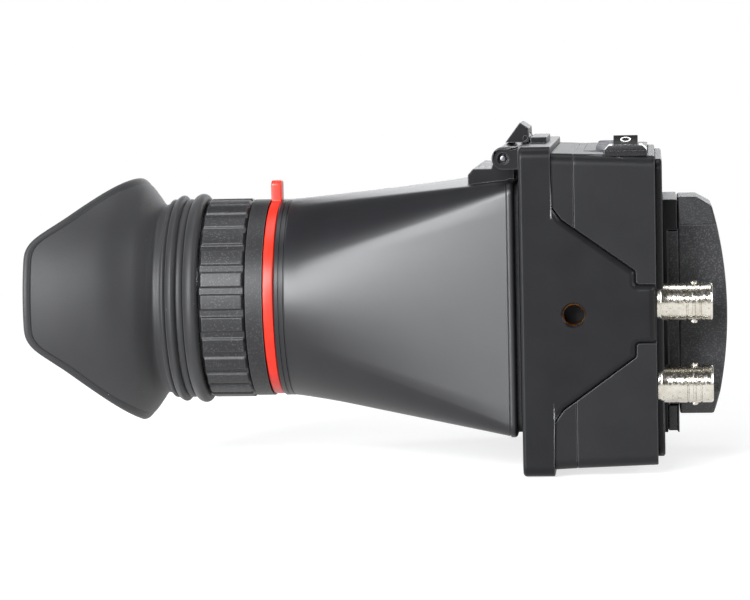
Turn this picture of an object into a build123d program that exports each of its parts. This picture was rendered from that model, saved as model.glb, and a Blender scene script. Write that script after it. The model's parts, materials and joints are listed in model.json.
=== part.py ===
from build123d import *
import math
import os

# Electronic viewfinder with a flip-up loupe, one solid or set of like solids per named piece.
# +X runs along the optical axis from the eyecup to the battery, +Z is up, and -Y is the side
# with the video sockets. The origin is the mouth of the thread in the foot.
# Lengths are in millimetres and angles in degrees.

# Fits
run_gap = 0.05            # radial gap of a part that turns or slides in another
side_gap = 0.1            # axial gap beside a part that turns
loose_gap = 0.3           # gap between parts that move past each other
seat_gap = 0.05           # gap round a part that is glued or screwed in place
pocket_gap = 0.15         # gap round the frame's ears in the casing

# Frame round the display
thread_setback = 13.4     # eye-side face to the mounting threads
frame_depth = 8.1
frame_width = 86.0
frame_height = 84.0
frame_corner = 3.0
frame_edge_round = 0.9
frame_lip = 2.0
axis_rise = 1.4           # optical axis above the frame's middle

# Side ears of the frame, centred on their thread
ear_thick = 2.4
ear_height = 41.4         # thread above the foot
ear_neck_half = 27.5
ear_flare_half = 24.1
ear_flare_x = 10.6
ear_shoulder_half = 10.8
ear_shoulder_x = 29.0
ear_tongue_half = 7.3
ear_reach = 34.0
ear_corner = 1.0
ear_rear_round = 1.7

# Ear under the casing, which is the foot
foot_thick = 3.0
foot_neck_half = 22.0
foot_end_half = 12.0
foot_shoulder_x = 24.0
foot_reach = 30.0

# Tripod threads, 1/4 inch with 20 turns an inch
thread_minor_radius = 2.6
thread_mouth_radius = 3.25
insert_radius = 4.0
insert_length = 6.5
boss_radius = 5.2
boss_floor = 1.0

# Casing behind the frame
shell_side_step = 1.0     # casing in from the frame's side
shell_bottom = 1.9
shell_top_step = 1.9
shell_corner = 3.0
shell_wall = 2.4
shell_flare = 0.25        # how much wider the front casing is at the frame
front_shell_depth = 5.7
rear_shell_depth = 20.5
side_draft = 0.4
top_draft = 0.9
bottom_draft = 0.7
back_wall = 2.2
web_thick = 1.5
web_side_lip = 3.6        # web in front of the display's edges
web_end_lip = 4.5
service_width = 50.0
service_margin = 1.1      # service opening beyond the battery plate's bosses

# Back cover
cover_thick = 1.8
cover_side_step = 3.8
cover_bottom_step = 2.4
cover_top_step = 1.8
cover_corner = 3.0
cover_edge_round = 0.7

# Display stack, from the eye side
display_side_margin = 4.4   # frame's edge to the display
display_end_margin = 13.5
aperture_side_lip = 1.4
aperture_end_lip = 3.3
gasket_thick = 0.5
window_thick = 1.2
lcd_thick = 1.6
flex_width = 20.0
flex_thick = 0.25
flex_margin = 2.0         # ribbon above the web's lower edge
flex_tab = 8.0
flex_drop = 6.0

# Screws
frame_screw_radius = 1.25
frame_screw_head = 2.3
frame_screw_length = 18.0
frame_screw_side = 8.0
frame_screw_inset = 7.0
column_radius = 3.4
column_length = 8.2
cover_screw_radius = 1.0
cover_screw_head = 1.9
cover_screw_length = 4.6
small_screw_length = 4.0
head_depth = 0.9
cover_screw_side = 4.2
cover_screw_bottom = 9.0
cover_screw_drop = 4.8
cover_screw_far = 42.0    # middle screw on the far side

# Main board on posts of the back wall
board_thick = 1.6
board_side_gap = 5.0
board_bottom = 8.5
board_top_gap = 20.1      # room for the switch and the buttons
post_height = 6.3
post_radius = 2.6
post_side = 7.0           # post in from the board's side
post_inset = 3.5
chip_height = 1.4
chips = [(-8, 42, 16, 16), (14, 46, 10, 10), (-12, 28, 10, 6), (14, 28, 8, 8)]   # y, z, width, height

# Video sockets
socket_side = 9.0         # socket in from the casing's side
socket_low = 22.6
socket_pitch = 21.0
socket_barrel_radius = 4.825
socket_barrel_length = 13.2
socket_bore_radius = 4.05
socket_bore_depth = 9.0
socket_flange_radius = 6.1
socket_flange_thick = 1.0
socket_tail_radius = 4.7
socket_tail_length = 6.8
socket_core_radius = 2.6
socket_core_rise = 2.0    # core above the floor of the bore
socket_lug_radius = 0.95
socket_lug_reach = 5.5
socket_lug_setback = 4.8  # lug centre behind the mouth
socket_pin_radius = 1.1
socket_pin_bore = 0.68
socket_pin_recess = 1.5
socket_pin_depth = 5.0
socket_nut_across = 11.0
socket_nut_thick = 2.0

# Power switch, a rocker across the top
switch_x = 27.0           # centre behind the eye-side face
switch_side = 9.5
switch_length = 15.0
switch_width = 10.8
switch_flange = 2.7
switch_body_length = 13.0
switch_body_width = 8.8
switch_body_depth = 11.0
switch_bevel = 1.2
terminal_width = 4.0
terminal_thick = 0.8
terminal_length = 4.0
rocker_width = 6.2
rocker_half_length = 5.2
rocker_crown = 2.2
rocker_dip = 1.0
rocker_skirt = 1.2
rocker_keel = 2.2
rocker_tilt = 12.0
rocker_pivot_height = 1.8   # above the seat of the flange
rocker_axle_radius = 0.8
rocker_axle_length = 0.9

# Top panel and its buttons
panel_front_x = 16.0
panel_back_x = 32.4
panel_switch_gap = 3.5
panel_far_side = 4.0
panel_thick = 1.2
panel_ledge = 2.0
button_x = 22.3
button_first = 8.0        # first button behind the panel's near edge
button_pitch = 11.5
button_names = ["button_menu", "button_down", "button_up", "button_source"]
button_radius = 3.2
button_rise = 1.1
button_flange_radius = 3.9
button_flange_thick = 0.8
button_round = 0.5
button_stem_radius = 1.2
button_travel = 0.5
tact_size = 4.5
tact_height = 2.0
panel_post_radius = 1.6
panel_post_length = 4.6
button_board_thick = 1.2

# Battery plate and its catch
plate_half_width = 19.2
plate_bottom = 8.2
plate_top = 69.0
plate_thick = 1.0
plate_block_depth = 3.8
plate_top_block = 61.0
plate_low_block = 15.4
plate_rail = 2.0          # width of the raised rail along each side
plate_screw_y = 12.0
plate_screw_low = 24.0
plate_screw_high = 55.0
plate_boss_radius = 2.5
plate_boss_length = 3.6
contact_count = 3
contact_pitch = 6.0
contact_width = 3.0
contact_bottom = 50.0
contact_top = 56.0
contact_thick = 0.25
catch_front = 1.0         # catch slot behind the plate's front face
catch_depth = 2.3
catch_inner_y = -7.0
catch_finger_y = -13.0
catch_low = 8.7
catch_spring_floor = 9.4
catch_spring_top = 12.4
spring_wire = 0.3
spring_radius = 0.8

# Battery
battery_half_width = 19.0
battery_bottom = 12.1
battery_top = 69.2
battery_step_low = 15.7
battery_step_high = 60.7
battery_depth = 8.9       # from the plate's blocks to the foot of the crown
battery_crown = 3.6
battery_top_flat = 4.9
battery_shoulder = 66.9
battery_bevel_side = 8.0  # bevel along the long edges, across and down
battery_bevel_drop = 6.8
battery_wall = 1.4
battery_base_thick = 1.2
cell_width = 17.0
cell_thick = 6.0

# Hinge of the loupe
pin_setback = 4.0         # hinge axis in front of the eye-side face
pin_drop = 2.9
pin_radius = 0.9
pin_length = 13.0
pin_recess_radius = 1.35
pin_recess_depth = 0.7
hinge_ear_radius = 2.9
hinge_ear_side = 5.0
hinge_ear_thick = 5.0
arm_barrel_radius = 2.7
arm_half_width = 27.0
arm_front = 13.7
arm_back = 1.7
arm_root_depth = 4.0      # arm below the cone's top edge, before it is cut to the cone
arm_back_drop = 2.0
arm_step_rise = 1.5
arm_top_rise = 3.0
arm_chamfer = 1.3
arm_web_front = 7.6
arm_screw_y = 14.0
arm_screw_x = 9.6

# Release lever on top of the frame
lever_pivot_x = 0.6
lever_pivot_rise = 1.3
lever_half_width = 11.0
lever_boss_radius = 1.1
lever_lug_half = 4.0
lever_nose_x = -4.7
lever_tip_x = -0.8
lever_tip_rise = 5.4
lever_brow_x = 1.5
lever_brow_rise = 3.9
lever_pin_radius = 0.5
bracket_front = 2.0
bracket_back = 6.3
bracket_half_width = 14.0
bracket_rise = 1.6
bracket_lug_lap = 1.0
lever_spring_radius = 0.95
lever_spring_length = 2.4

# Loupe cone, round at the eye and square at the display
cone_round_x = -62.0
cone_collar_wall = 2.1    # collar over the barrel
cone_collar = 3.2
cone_square_x = -3.2
cone_side_step = 3.7      # cone's square end in from the frame's edges
cone_bottom = 9.8
cone_top_step = 8.9
cone_corner = 3.5
cone_side_angle = 20.0    # half of the round end's arc that runs into each flat side
cone_wall = 2.2
rim_thick = 1.8
rim_step = 0.25
rim_round = 0.7
seal_thick = 1.1
seal_inset = 1.0
seal_width = 2.6

# Eyepiece barrel, its focus ring and lock ring
barrel_radius = 24.3
barrel_wall = 1.3
barrel_band_thick = 2.1
barrel_band_front = -72.6
barrel_band_back = -68.2
barrel_back = -60.0
barrel_front = -88.3
lock_ring_thick = 1.7     # over the barrel
tab_rise = 5.5
tab_half_width = 2.6
focus_front = -85.1
focus_core_thick = 0.9    # over the barrel
grip_thick = 0.9
grip_rib_rise = 0.6
grip_rib_width = 3.7
grip_rib_count = 28
grip_front_margin = 0.4
grip_back_margin = 0.6
focus_turn = 45.0         # each way
focus_slide = 2.5         # each way
guide_x = -79.0
guide_radius = 1.0
guide_gap = 0.1
guide_count = 3

# Lenses in their cell
cell_wall = 1.75
cell_front = -83.2
cell_back = -66.0
cell_lip = 1.5
cell_lip_rise = 1.7       # lip inside the bore
lens_gap = 0.1            # lens in the bore
eye_lens_edge = 2.5
eye_lens_bulge = 3.3
field_lens_edge = 2.5
field_lens_bulge = 3.3
retainer_thick = 1.5
retainer_rise = 1.6
spacer_wall = 1.1

# Eyecup and its clip ring
cup_back = -85.4
cup_ring_front = -88.4
cup_ring_thick = 1.9      # over the barrel
clip_groove_depth = 0.5
clip_groove_width = 1.2
clip_groove_front = -87.2
cup_wall = 1.6
cup_wing_tip = 43.9       # distance from the eyecup's back
cup_tip_step = 11.0       # tip of the wing outside the clip ring
cup_throat_drop = 1.0
# Eyecup wall as distance from its back and step out from the clip ring
cup_bellows = [(0, 1.0), (1.5, 1.9), (4.7, 0.5), (6.8, 1.6), (8.5, -0.1), (9.7, 0.5), (11.8, -0.8)]
cup_flare = [(18.7, 6.5), (26.0, 9.5)]
cup_inside = [(6.8, -0.2), (8.5, -1.7), (11.8, -2.4), (19.7, 5.0), (26.5, 7.7)]
cup_rim = 18.7
cup_rim_step = 4.9        # start of the wing's edges outside the clip ring
cup_tip_half = 12.5
cup_tip_corner = 2.2
cup_turn = -7.3           # how far the eyecup is turned at rest

# Places worked out from the sizes above
eye_x = -thread_setback
frame_back_x = eye_x + frame_depth
parting_x = frame_back_x + front_shell_depth
shell_back_x = parting_x + rear_shell_depth
cover_back_x = shell_back_x + cover_thick
inner_back_x = shell_back_x - back_wall
frame_half = frame_width / 2
axis_height = frame_height / 2 + axis_rise
optical_axis = Axis((0, 0, axis_height), (1, 0, 0))
shell_half_width = frame_half - shell_side_step
shell_top = frame_height - shell_top_step
cover_half_width = shell_half_width - cover_side_step
cover_bottom = shell_bottom + cover_bottom_step
cover_top = shell_top - cover_top_step
display_width = frame_width - 2 * display_side_margin
display_height = frame_height - 2 * display_end_margin
aperture_width = display_width - 2 * aperture_side_lip
aperture_height = display_height - 2 * aperture_end_lip
web_open_width = display_width - 2 * web_side_lip
web_open_height = display_height - 2 * web_end_lip
frame_screw_y = frame_half - frame_screw_side
cover_screw_y = cover_half_width - cover_screw_side
cover_screw_top = cover_top - cover_screw_drop
board_half_width = shell_half_width - board_side_gap
board_top = shell_top - board_top_gap
post_y = board_half_width - post_side
socket_y = socket_side - shell_half_width
switch_y = switch_side - shell_half_width
panel_near_y = switch_y + switch_length / 2 + panel_switch_gap
panel_far_y = shell_half_width - panel_far_side
button_first_y = panel_near_y + button_first
pin_height = frame_height - pin_drop
hinge_ear_outer = frame_half - hinge_ear_side
cone_half_width = frame_half - cone_side_step
cone_top = frame_height - cone_top_step
arm_step_height = cone_top + arm_step_rise
arm_top_height = cone_top + arm_top_rise
service_bottom = plate_screw_low - plate_boss_radius - service_margin
service_top = plate_screw_high + plate_boss_radius + service_margin
gasket_x = eye_x + frame_lip
window_x = gasket_x + gasket_thick
lcd_x = window_x + window_thick
backlight_x = lcd_x + lcd_thick
board_x = inner_back_x - post_height - board_thick
pin_x = eye_x - pin_setback
barrel_bore = barrel_radius - barrel_wall
barrel_band_radius = barrel_radius + barrel_band_thick
cone_round_radius = barrel_radius + cone_collar_wall
lock_ring_radius = barrel_radius + lock_ring_thick
tab_reach = lock_ring_radius + tab_rise
focus_core_radius = barrel_radius + focus_core_thick
grip_radius = focus_core_radius + grip_thick
grip_rib_radius = grip_radius + grip_rib_rise
cell_radius = barrel_bore - run_gap
cell_bore = cell_radius - cell_wall
cell_lip_radius = cell_bore - cell_lip_rise
lens_radius = cell_bore - lens_gap
retainer_radius = cell_bore - retainer_rise
spacer_bore = lens_radius - spacer_wall
cup_ring_radius = barrel_radius + cup_ring_thick
cup_rim_radius = cup_ring_radius + cup_rim_step
panel_top = shell_top
panel_bottom = panel_top - panel_thick
switch_seat = shell_top - top_draft
socket_high = socket_low + socket_pitch
battery_x = cover_back_x + plate_thick + contact_thick + run_gap
battery_step_x = cover_back_x + plate_block_depth + 2 * side_gap
cup_plane = eye_x + cup_back


def block(low, high):
    """Box between two opposite corners."""
    size = [high[i] - low[i] for i in range(3)]
    middle = [(high[i] + low[i]) / 2 for i in range(3)]
    return Pos(*middle) * Box(*size)


def rod(radius, start, end):
    """Round bar between two points."""
    run = Vector(*end) - Vector(*start)
    base = Plane(origin=start, z_dir=run)
    return base * Cylinder(radius, run.length, align=(Align.CENTER, Align.CENTER, Align.MIN))


def taper(start_radius, end_radius, start, end):
    """Round bar between two points with a radius at each end."""
    run = Vector(*end) - Vector(*start)
    base = Plane(origin=start, z_dir=run)
    cone = Cone(start_radius, end_radius, run.length, align=(Align.CENTER, Align.CENTER, Align.MIN))
    return base * cone


def side_slab(outline, low_y, high_y):
    """Prism of a side-view outline (x, z), between two places across the body."""
    return extrude(Plane.XZ.offset(-high_y) * outline, high_y - low_y)


def cross_slab(outline, low_x, high_x):
    """Prism of an end-view outline (y, z), between two places along the body."""
    return extrude(Plane.YZ.offset(low_x) * outline, high_x - low_x)


def plate_outline(half_width, bottom, top, corner):
    """End-view rectangle with round corners."""
    return Pos(0, (bottom + top) / 2) * RectangleRounded(2 * half_width, top - bottom, corner)


def turned(points):
    """Ring turned about the optical axis from (x, radius) points."""
    outline = make_face(Polyline(*[(x, axis_height + r) for x, r in points], close=True))
    return revolve(Plane.XZ * outline, optical_axis)


def tube(inner, outer, low_x, high_x):
    """Plain ring about the optical axis."""
    return turned([(low_x, inner), (high_x, inner), (high_x, outer), (low_x, outer)])


def about_axis(shape, angle):
    """Shape turned about the optical axis."""
    return shape.rotate(optical_axis, angle)


def far_side(shape):
    """Mirror image on the other side of the body."""
    return mirror(shape, about=Plane.XZ)


def countersunk(radius, head, length, x, y, z):
    """Countersunk screw along X with its head flush at x and its shank towards -X."""
    shank = rod(radius, (x - length, y, z), (x, y, z))
    return shank + taper(head, radius, (x, y, z), (x - head_depth, y, z))


def group(shapes):
    """Several separate solids kept as one piece."""
    return Compound(children=[solid for shape in shapes for solid in shape.solids()])


# Outlines that two or more pieces share


def ear_outline(reach):
    """Side ear seen from the side, as wide as its neck at the frame."""
    upper = [
        (0, ear_neck_half),
        (frame_depth, ear_neck_half),
        (ear_flare_x, ear_flare_half),
        (ear_shoulder_x, ear_shoulder_half),
        (ear_shoulder_x, ear_tongue_half),
        (reach, ear_tongue_half),
    ]
    points = upper + [(x, -z) for x, z in reversed(upper)]
    wire = FilletPolyline(*points, radius=ear_corner, close=True)
    return Pos(eye_x, ear_height) * make_face(wire)


def foot_outline():
    """Foot seen from above."""
    near = [
        (0, foot_neck_half),
        (frame_depth, foot_neck_half),
        (foot_shoulder_x, foot_end_half),
        (foot_reach, foot_end_half),
    ]
    points = near + [(x, -y) for x, y in reversed(near)]
    wire = FilletPolyline(*points, radius=ear_corner, close=True)
    return Pos(eye_x, 0) * make_face(wire)


def side_boss(gap):
    """Boss behind the near side's thread, grown by a gap."""
    inner_y = -frame_half + insert_length + boss_floor + gap
    return rod(boss_radius + gap, (0, -frame_half + ear_thick / 2, ear_height), (0, inner_y, ear_height))


def foot_boss(gap):
    """Boss above the foot's thread, grown by a gap."""
    return rod(boss_radius + gap, (0, 0, foot_thick / 2), (0, 0, insert_length + boss_floor + gap))


def shell_section(x, grow):
    """Outer section of the casing at a station, grown or shrunk by a distance."""
    if x < parting_x:
        grow = grow + shell_flare * (parting_x - x) / front_shell_depth
    share = max(0.0, (x - parting_x) / rear_shell_depth)
    half = shell_half_width - side_draft * share + grow
    bottom = shell_bottom + bottom_draft * share - grow
    top = shell_top - top_draft * share + grow
    corner = max(shell_corner + min(grow, 0.0), 0.5)
    return Plane.YZ.offset(x) * plate_outline(half, bottom, top, corner)


def shell_block(low_x, high_x, grow):
    """Solid between two sections of the casing."""
    return loft([shell_section(low_x, grow), shell_section(high_x, grow)], ruled=True)


def frame_screw_places():
    """Height and side of the four frame screws."""
    heights = (frame_screw_inset, frame_height - frame_screw_inset)
    return [(side * frame_screw_y, z) for side in (-1, 1) for z in heights]


def cover_screw_places():
    """Side and height of the cover's screws, clear of the sockets."""
    near_middle = (socket_low + socket_high) / 2
    near = [(-cover_screw_y, z) for z in (cover_screw_bottom, near_middle, cover_screw_top)]
    far = [(cover_screw_y, z) for z in (cover_screw_bottom, cover_screw_far, cover_screw_top)]
    return near + far


def post_places():
    """Side and height of the main board's posts."""
    heights = (board_bottom + post_inset, board_top - post_inset)
    return [(side * post_y, z) for side in (-1, 1) for z in heights]


def plate_screw_places():
    """Side and height of the battery plate's screws."""
    heights = (plate_screw_low, plate_screw_high)
    return [(side * plate_screw_y, z) for side in (-1, 1) for z in heights]


def ear_recess():
    """Everything cut from the casing for the frame's ears, foot and bosses."""
    flat = offset(ear_outline(ear_reach + frame_depth), pocket_gap)
    near = side_slab(flat, -frame_half - 1, -frame_half + ear_thick + pocket_gap)
    near = near + side_boss(pocket_gap)
    foot = extrude(Plane.XY.offset(-1) * offset(foot_outline(), pocket_gap), foot_thick + pocket_gap + 1)
    return near + far_side(near) + foot + foot_boss(pocket_gap)


# Frame and casing


def hinge_ear():
    """Near hinge ear with its pin bore and recess."""
    inner_y = -hinge_ear_outer + hinge_ear_thick
    outer_face = (pin_x, -hinge_ear_outer, pin_height)
    ear = rod(hinge_ear_radius, outer_face, (pin_x, inner_y, pin_height))
    low = (pin_x, -hinge_ear_outer, pin_height - hinge_ear_radius)
    high = (eye_x + frame_lip / 2, inner_y, pin_height + hinge_ear_radius)
    ear = ear + block(low, high)
    ear = ear - rod(pin_radius, outer_face, (pin_x, inner_y, pin_height))
    recess_end = -hinge_ear_outer + pin_recess_depth
    return ear - rod(pin_recess_radius, outer_face, (pin_x, recess_end, pin_height))


def front_frame():
    """Cast frame with a display window, side ears, foot and hinge ears."""
    outline = plate_outline(frame_half, 0, frame_height, frame_corner)
    frame = cross_slab(outline, eye_x, frame_back_x)
    frame = fillet(frame.edges().group_by(Axis.X)[0], frame_edge_round)
    near_ear = side_slab(ear_outline(ear_reach), -frame_half, -frame_half + ear_thick)
    rear_edge = near_ear.edges().filter_by(Axis.Z).group_by(Axis.X)[-1].sort_by(Axis.Y)[0]
    near_ear = fillet(rear_edge, ear_rear_round) + side_boss(0)
    foot = extrude(foot_outline(), foot_thick) + foot_boss(0)
    frame = frame + near_ear + far_side(near_ear) + foot
    window = Pos(0, axis_height) * Rectangle(aperture_width, aperture_height)
    frame = frame - cross_slab(window, eye_x - 1, frame_back_x)
    pocket = Rectangle(display_width + 2 * pocket_gap, display_height + 2 * pocket_gap)
    frame = frame - cross_slab(Pos(0, axis_height) * pocket, gasket_x, frame_back_x)
    hole_end = (0, -frame_half + insert_length, ear_height)
    near_hole = rod(insert_radius, (0, -frame_half, ear_height), hole_end)
    frame = frame - near_hole - far_side(near_hole) - rod(insert_radius, (0, 0, 0), (0, 0, insert_length))
    ear = hinge_ear()
    frame = frame + ear + far_side(ear)
    for y, z in frame_screw_places():
        frame = frame - rod(frame_screw_radius, (eye_x, y, z), (frame_back_x, y, z))
        frame = frame - rod(frame_screw_head, (eye_x, y, z), (eye_x + 2 * head_depth, y, z))
    return frame


def thread_inserts():
    """Threaded bushes in the foot and, with a bevelled mouth, in both side ears."""
    end = (0, 0, insert_length)
    bush = rod(insert_radius, (0, 0, 0), end) - rod(thread_minor_radius, (0, 0, 0), end)
    bevel = thread_mouth_radius - thread_minor_radius
    bevelled = bush - taper(thread_mouth_radius, thread_minor_radius, (0, 0, 0), (0, 0, bevel))
    near = Pos(0, -frame_half, ear_height) * Rot(-90, 0, 0) * bevelled
    return group([bush, near, far_side(near)])


def frame_screws():
    """Screws through the frame into the columns of the rear casing."""
    screws = []
    for y, z in frame_screw_places():
        head = rod(frame_screw_head - seat_gap, (eye_x + side_gap, y, z), (eye_x + 2 * head_depth, y, z))
        end_x = eye_x + 2 * head_depth + frame_screw_length
        screws.append(head + rod(frame_screw_radius, (eye_x + 2 * head_depth, y, z), (end_x, y, z)))
    return group(screws)


def front_shell():
    """Short casing ring with a web that holds the display stack in the frame."""
    shell = shell_block(frame_back_x, parting_x, 0) - shell_block(frame_back_x, parting_x, -shell_wall)
    web = shell_block(frame_back_x, frame_back_x + web_thick, -shell_wall / 2)
    opening = Pos(0, axis_height) * Rectangle(web_open_width, web_open_height)
    web = web - cross_slab(opening, frame_back_x, frame_back_x + web_thick)
    shell = shell + web - ear_recess()
    for y, z in frame_screw_places():
        column = rod(column_radius, (frame_back_x, y, z), (parting_x, y, z))
        shell = shell + column - rod(frame_screw_radius, (frame_back_x, y, z), (parting_x, y, z))
    return shell


def rear_shell():
    """Main casing with posts, columns, the switch opening and the panel's ledge."""
    shell = shell_block(parting_x, shell_back_x, 0) - shell_block(parting_x, inner_back_x, -shell_wall)
    low = (inner_back_x, -service_width / 2, service_bottom)
    shell = shell - block(low, (shell_back_x, service_width / 2, service_top))
    shell = shell - ear_recess()
    for y, z in frame_screw_places():
        end = (parting_x + column_length, y, z)
        column = rod(column_radius, (parting_x, y, z), end)
        shell = shell + column - rod(frame_screw_radius, (parting_x, y, z), end)
    for y, z in post_places():
        shell = shell + rod(post_radius, (inner_back_x - post_height, y, z), (inner_back_x, y, z))
        shell = shell - rod(cover_screw_radius, (inner_back_x - post_height, y, z), (shell_back_x, y, z))
    for z in (socket_low, socket_high):
        outer_face = (shell_back_x, socket_y, z)
        shell = shell - rod(socket_tail_radius + seat_gap, (inner_back_x, socket_y, z), outer_face)
    for y, z in cover_screw_places():
        shell = shell - rod(cover_screw_radius, (inner_back_x, y, z), (shell_back_x, y, z))
    return shell - switch_opening() - panel_opening()


def switch_opening():
    """Seat and hole for the power switch in the casing's top."""
    x = eye_x + switch_x
    seat_x = switch_width / 2 + pocket_gap
    seat_y = switch_length / 2 + pocket_gap
    low = (x - seat_x, switch_y - seat_y, switch_seat)
    high = (x + seat_x, switch_y + seat_y, shell_top + 1)
    hole_x = switch_body_width / 2 + seat_gap
    hole_y = switch_body_length / 2 + seat_gap
    hole_low = (x - hole_x, switch_y - hole_y, switch_seat - 2 * shell_wall)
    hole_high = (x + hole_x, switch_y + hole_y, switch_seat)
    return block(low, high) + block(hole_low, hole_high)


def panel_opening():
    """Seat and hole for the top panel in the casing's top."""
    low_x = eye_x + panel_front_x
    high_x = eye_x + panel_back_x
    seat_low = (low_x - seat_gap, panel_near_y - seat_gap, panel_bottom)
    seat = block(seat_low, (high_x + seat_gap, panel_far_y + seat_gap, shell_top + 1))
    hole_low = (low_x + panel_ledge, panel_near_y + panel_ledge, panel_bottom - 2 * shell_wall)
    return seat + block(hole_low, (high_x - panel_ledge, panel_far_y - panel_ledge, panel_bottom))


def rear_cover():
    """Back plate, open round the sockets, with bosses for the battery plate."""
    outline = plate_outline(cover_half_width, cover_bottom, cover_top, cover_corner)
    cover = cross_slab(outline, shell_back_x, cover_back_x)
    cover = fillet(cover.edges().group_by(Axis.X)[-1], cover_edge_round)
    for z in (socket_low, socket_high):
        place = (shell_back_x, socket_y, z)
        cover = cover - rod(socket_flange_radius + pocket_gap, place, (cover_back_x, socket_y, z))
    for y, z in cover_screw_places():
        cover = cover - countersunk(cover_screw_radius, cover_screw_head, cover_thick, cover_back_x, y, z)
    for y, z in plate_screw_places():
        boss_end = (shell_back_x - plate_boss_length, y, z)
        cover = cover + rod(plate_boss_radius, boss_end, (shell_back_x, y, z))
        cover = cover - rod(cover_screw_radius, boss_end, (cover_back_x, y, z))
    return cover


def cover_screws():
    """Countersunk screws that hold the cover."""
    screw = countersunk(cover_screw_radius, cover_screw_head, cover_screw_length, cover_back_x, 0, 0)
    return group([Pos(0, y, z) * screw for y, z in cover_screw_places()])


# Display and boards


def display_layer(width, height, low_x, high_x):
    """One flat layer of the display stack."""
    return cross_slab(Pos(0, axis_height) * Rectangle(width, height), low_x, high_x)


def window_gasket():
    """Dust seal between the frame's lip and the window."""
    pad = display_layer(display_width, display_height, gasket_x, window_x)
    return pad - display_layer(aperture_width, aperture_height, gasket_x, window_x)


def display_flex():
    """Ribbon from the backlight to the main board."""
    low = axis_height - web_open_height / 2 + flex_margin
    high = low + flex_tab
    points = [
        (frame_back_x, high),
        (frame_back_x, low),
        (board_x - flex_thick, low),
        (board_x - flex_thick, low - flex_drop),
        (board_x, low - flex_drop),
        (board_x, low + flex_thick),
        (frame_back_x + flex_thick, low + flex_thick),
        (frame_back_x + flex_thick, high),
    ]
    return side_slab(make_face(Polyline(*points, close=True)), -flex_width / 2, flex_width / 2)


def main_board():
    """Circuit board with its larger chips and the holes for screws and socket pins."""
    low = (board_x, -board_half_width, board_bottom)
    board = block(low, (board_x + board_thick, board_half_width, board_top))
    for y, z, width, height in chips:
        chip_low = (board_x - chip_height, y - width / 2, z - height / 2)
        board = board + block(chip_low, (board_x, y + width / 2, z + height / 2))
    for y, z in post_places():
        board = board - rod(cover_screw_radius, (board_x, y, z), (board_x + board_thick, y, z))
    for z in (socket_low, socket_high):
        far_face = (board_x + board_thick, socket_y, z)
        board = board - rod(socket_pin_bore + seat_gap, (board_x, socket_y, z), far_face)
    return board


def board_screws():
    """Pan-head screws that hold the main board on its posts."""
    screws = []
    for y, z in post_places():
        head = rod(cover_screw_head, (board_x - head_depth, y, z), (board_x, y, z))
        screws.append(head + rod(cover_screw_radius, (board_x, y, z), (board_x + small_screw_length, y, z)))
    return group(screws)


# Video sockets


def socket_body(z):
    """Bayonet socket: flange, barrel with two lugs, and a threaded tail through the back wall."""
    mouth_x = shell_back_x + socket_flange_thick + socket_barrel_length
    tail = (shell_back_x - socket_tail_length, socket_y, z)
    seat = (shell_back_x, socket_y, z)
    body = rod(socket_flange_radius, seat, (shell_back_x + socket_flange_thick, socket_y, z))
    body = body + rod(socket_barrel_radius, seat, (mouth_x, socket_y, z))
    body = body + rod(socket_tail_radius, tail, seat)
    lug_x = mouth_x - socket_lug_setback
    lug_low = (lug_x, socket_y, z - socket_lug_reach)
    body = body + rod(socket_lug_radius, lug_low, (lug_x, socket_y, z + socket_lug_reach))
    mouth = (mouth_x, socket_y, z)
    body = body - rod(socket_bore_radius, (mouth_x - socket_bore_depth, socket_y, z), mouth)
    return body - rod(socket_core_radius, tail, mouth)


def socket_insulator(z):
    """Plastic core that holds the centre contact."""
    mouth_x = shell_back_x + socket_flange_thick + socket_barrel_length
    tail = (shell_back_x - socket_tail_length, socket_y, z)
    front = (mouth_x - socket_bore_depth + socket_core_rise, socket_y, z)
    return rod(socket_core_radius, tail, front) - rod(socket_pin_radius, tail, front)


def socket_contact(z):
    """Centre contact, hollow at its front, with a thin tail to the main board."""
    mouth_x = shell_back_x + socket_flange_thick + socket_barrel_length
    front_x = mouth_x - socket_pin_recess
    front = (front_x, socket_y, z)
    tail = (shell_back_x - socket_tail_length, socket_y, z)
    contact = rod(socket_pin_radius, tail, front)
    contact = contact - rod(socket_pin_bore, (front_x - socket_pin_depth, socket_y, z), front)
    return contact + rod(socket_pin_bore, (board_x, socket_y, z), tail)


def sdi_nuts():
    """Hexagon nuts on the sockets' tails inside the back wall."""
    nuts = []
    front_x = inner_back_x - socket_nut_thick
    hexagon = Rot(0, 0, 30) * RegularPolygon(socket_nut_across / 2, 6, major_radius=False)
    for z in (socket_low, socket_high):
        nut = cross_slab(Pos(socket_y, z) * hexagon, front_x, inner_back_x)
        nuts.append(nut - rod(socket_tail_radius, (front_x, socket_y, z), (inner_back_x, socket_y, z)))
    return group(nuts)


# Power switch and buttons


def rocker_outline():
    """End view of the rocker about its pivot, level."""
    points = [
        (-rocker_half_length, -rocker_skirt),
        (-rocker_half_length, rocker_crown),
        (0, rocker_dip),
        (rocker_half_length, rocker_crown),
        (rocker_half_length, -rocker_skirt),
        (0, -rocker_keel),
    ]
    return make_face(Polyline(*points, close=True))


def rocker_pivot():
    """Middle of the rocker's axle."""
    return (eye_x + switch_x, switch_y, switch_seat + rocker_pivot_height)


def power_rocker():
    """Rocker with its far end up, which is on."""
    x, y, z = rocker_pivot()
    half = rocker_width / 2
    rocker = cross_slab(rocker_outline(), -half, half)
    axle = half + rocker_axle_length
    rocker = rocker + rod(rocker_axle_radius, (-axle, 0, 0), (axle, 0, 0))
    return Pos(x, y, z) * Rot(rocker_tilt, 0, 0) * rocker


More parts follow.
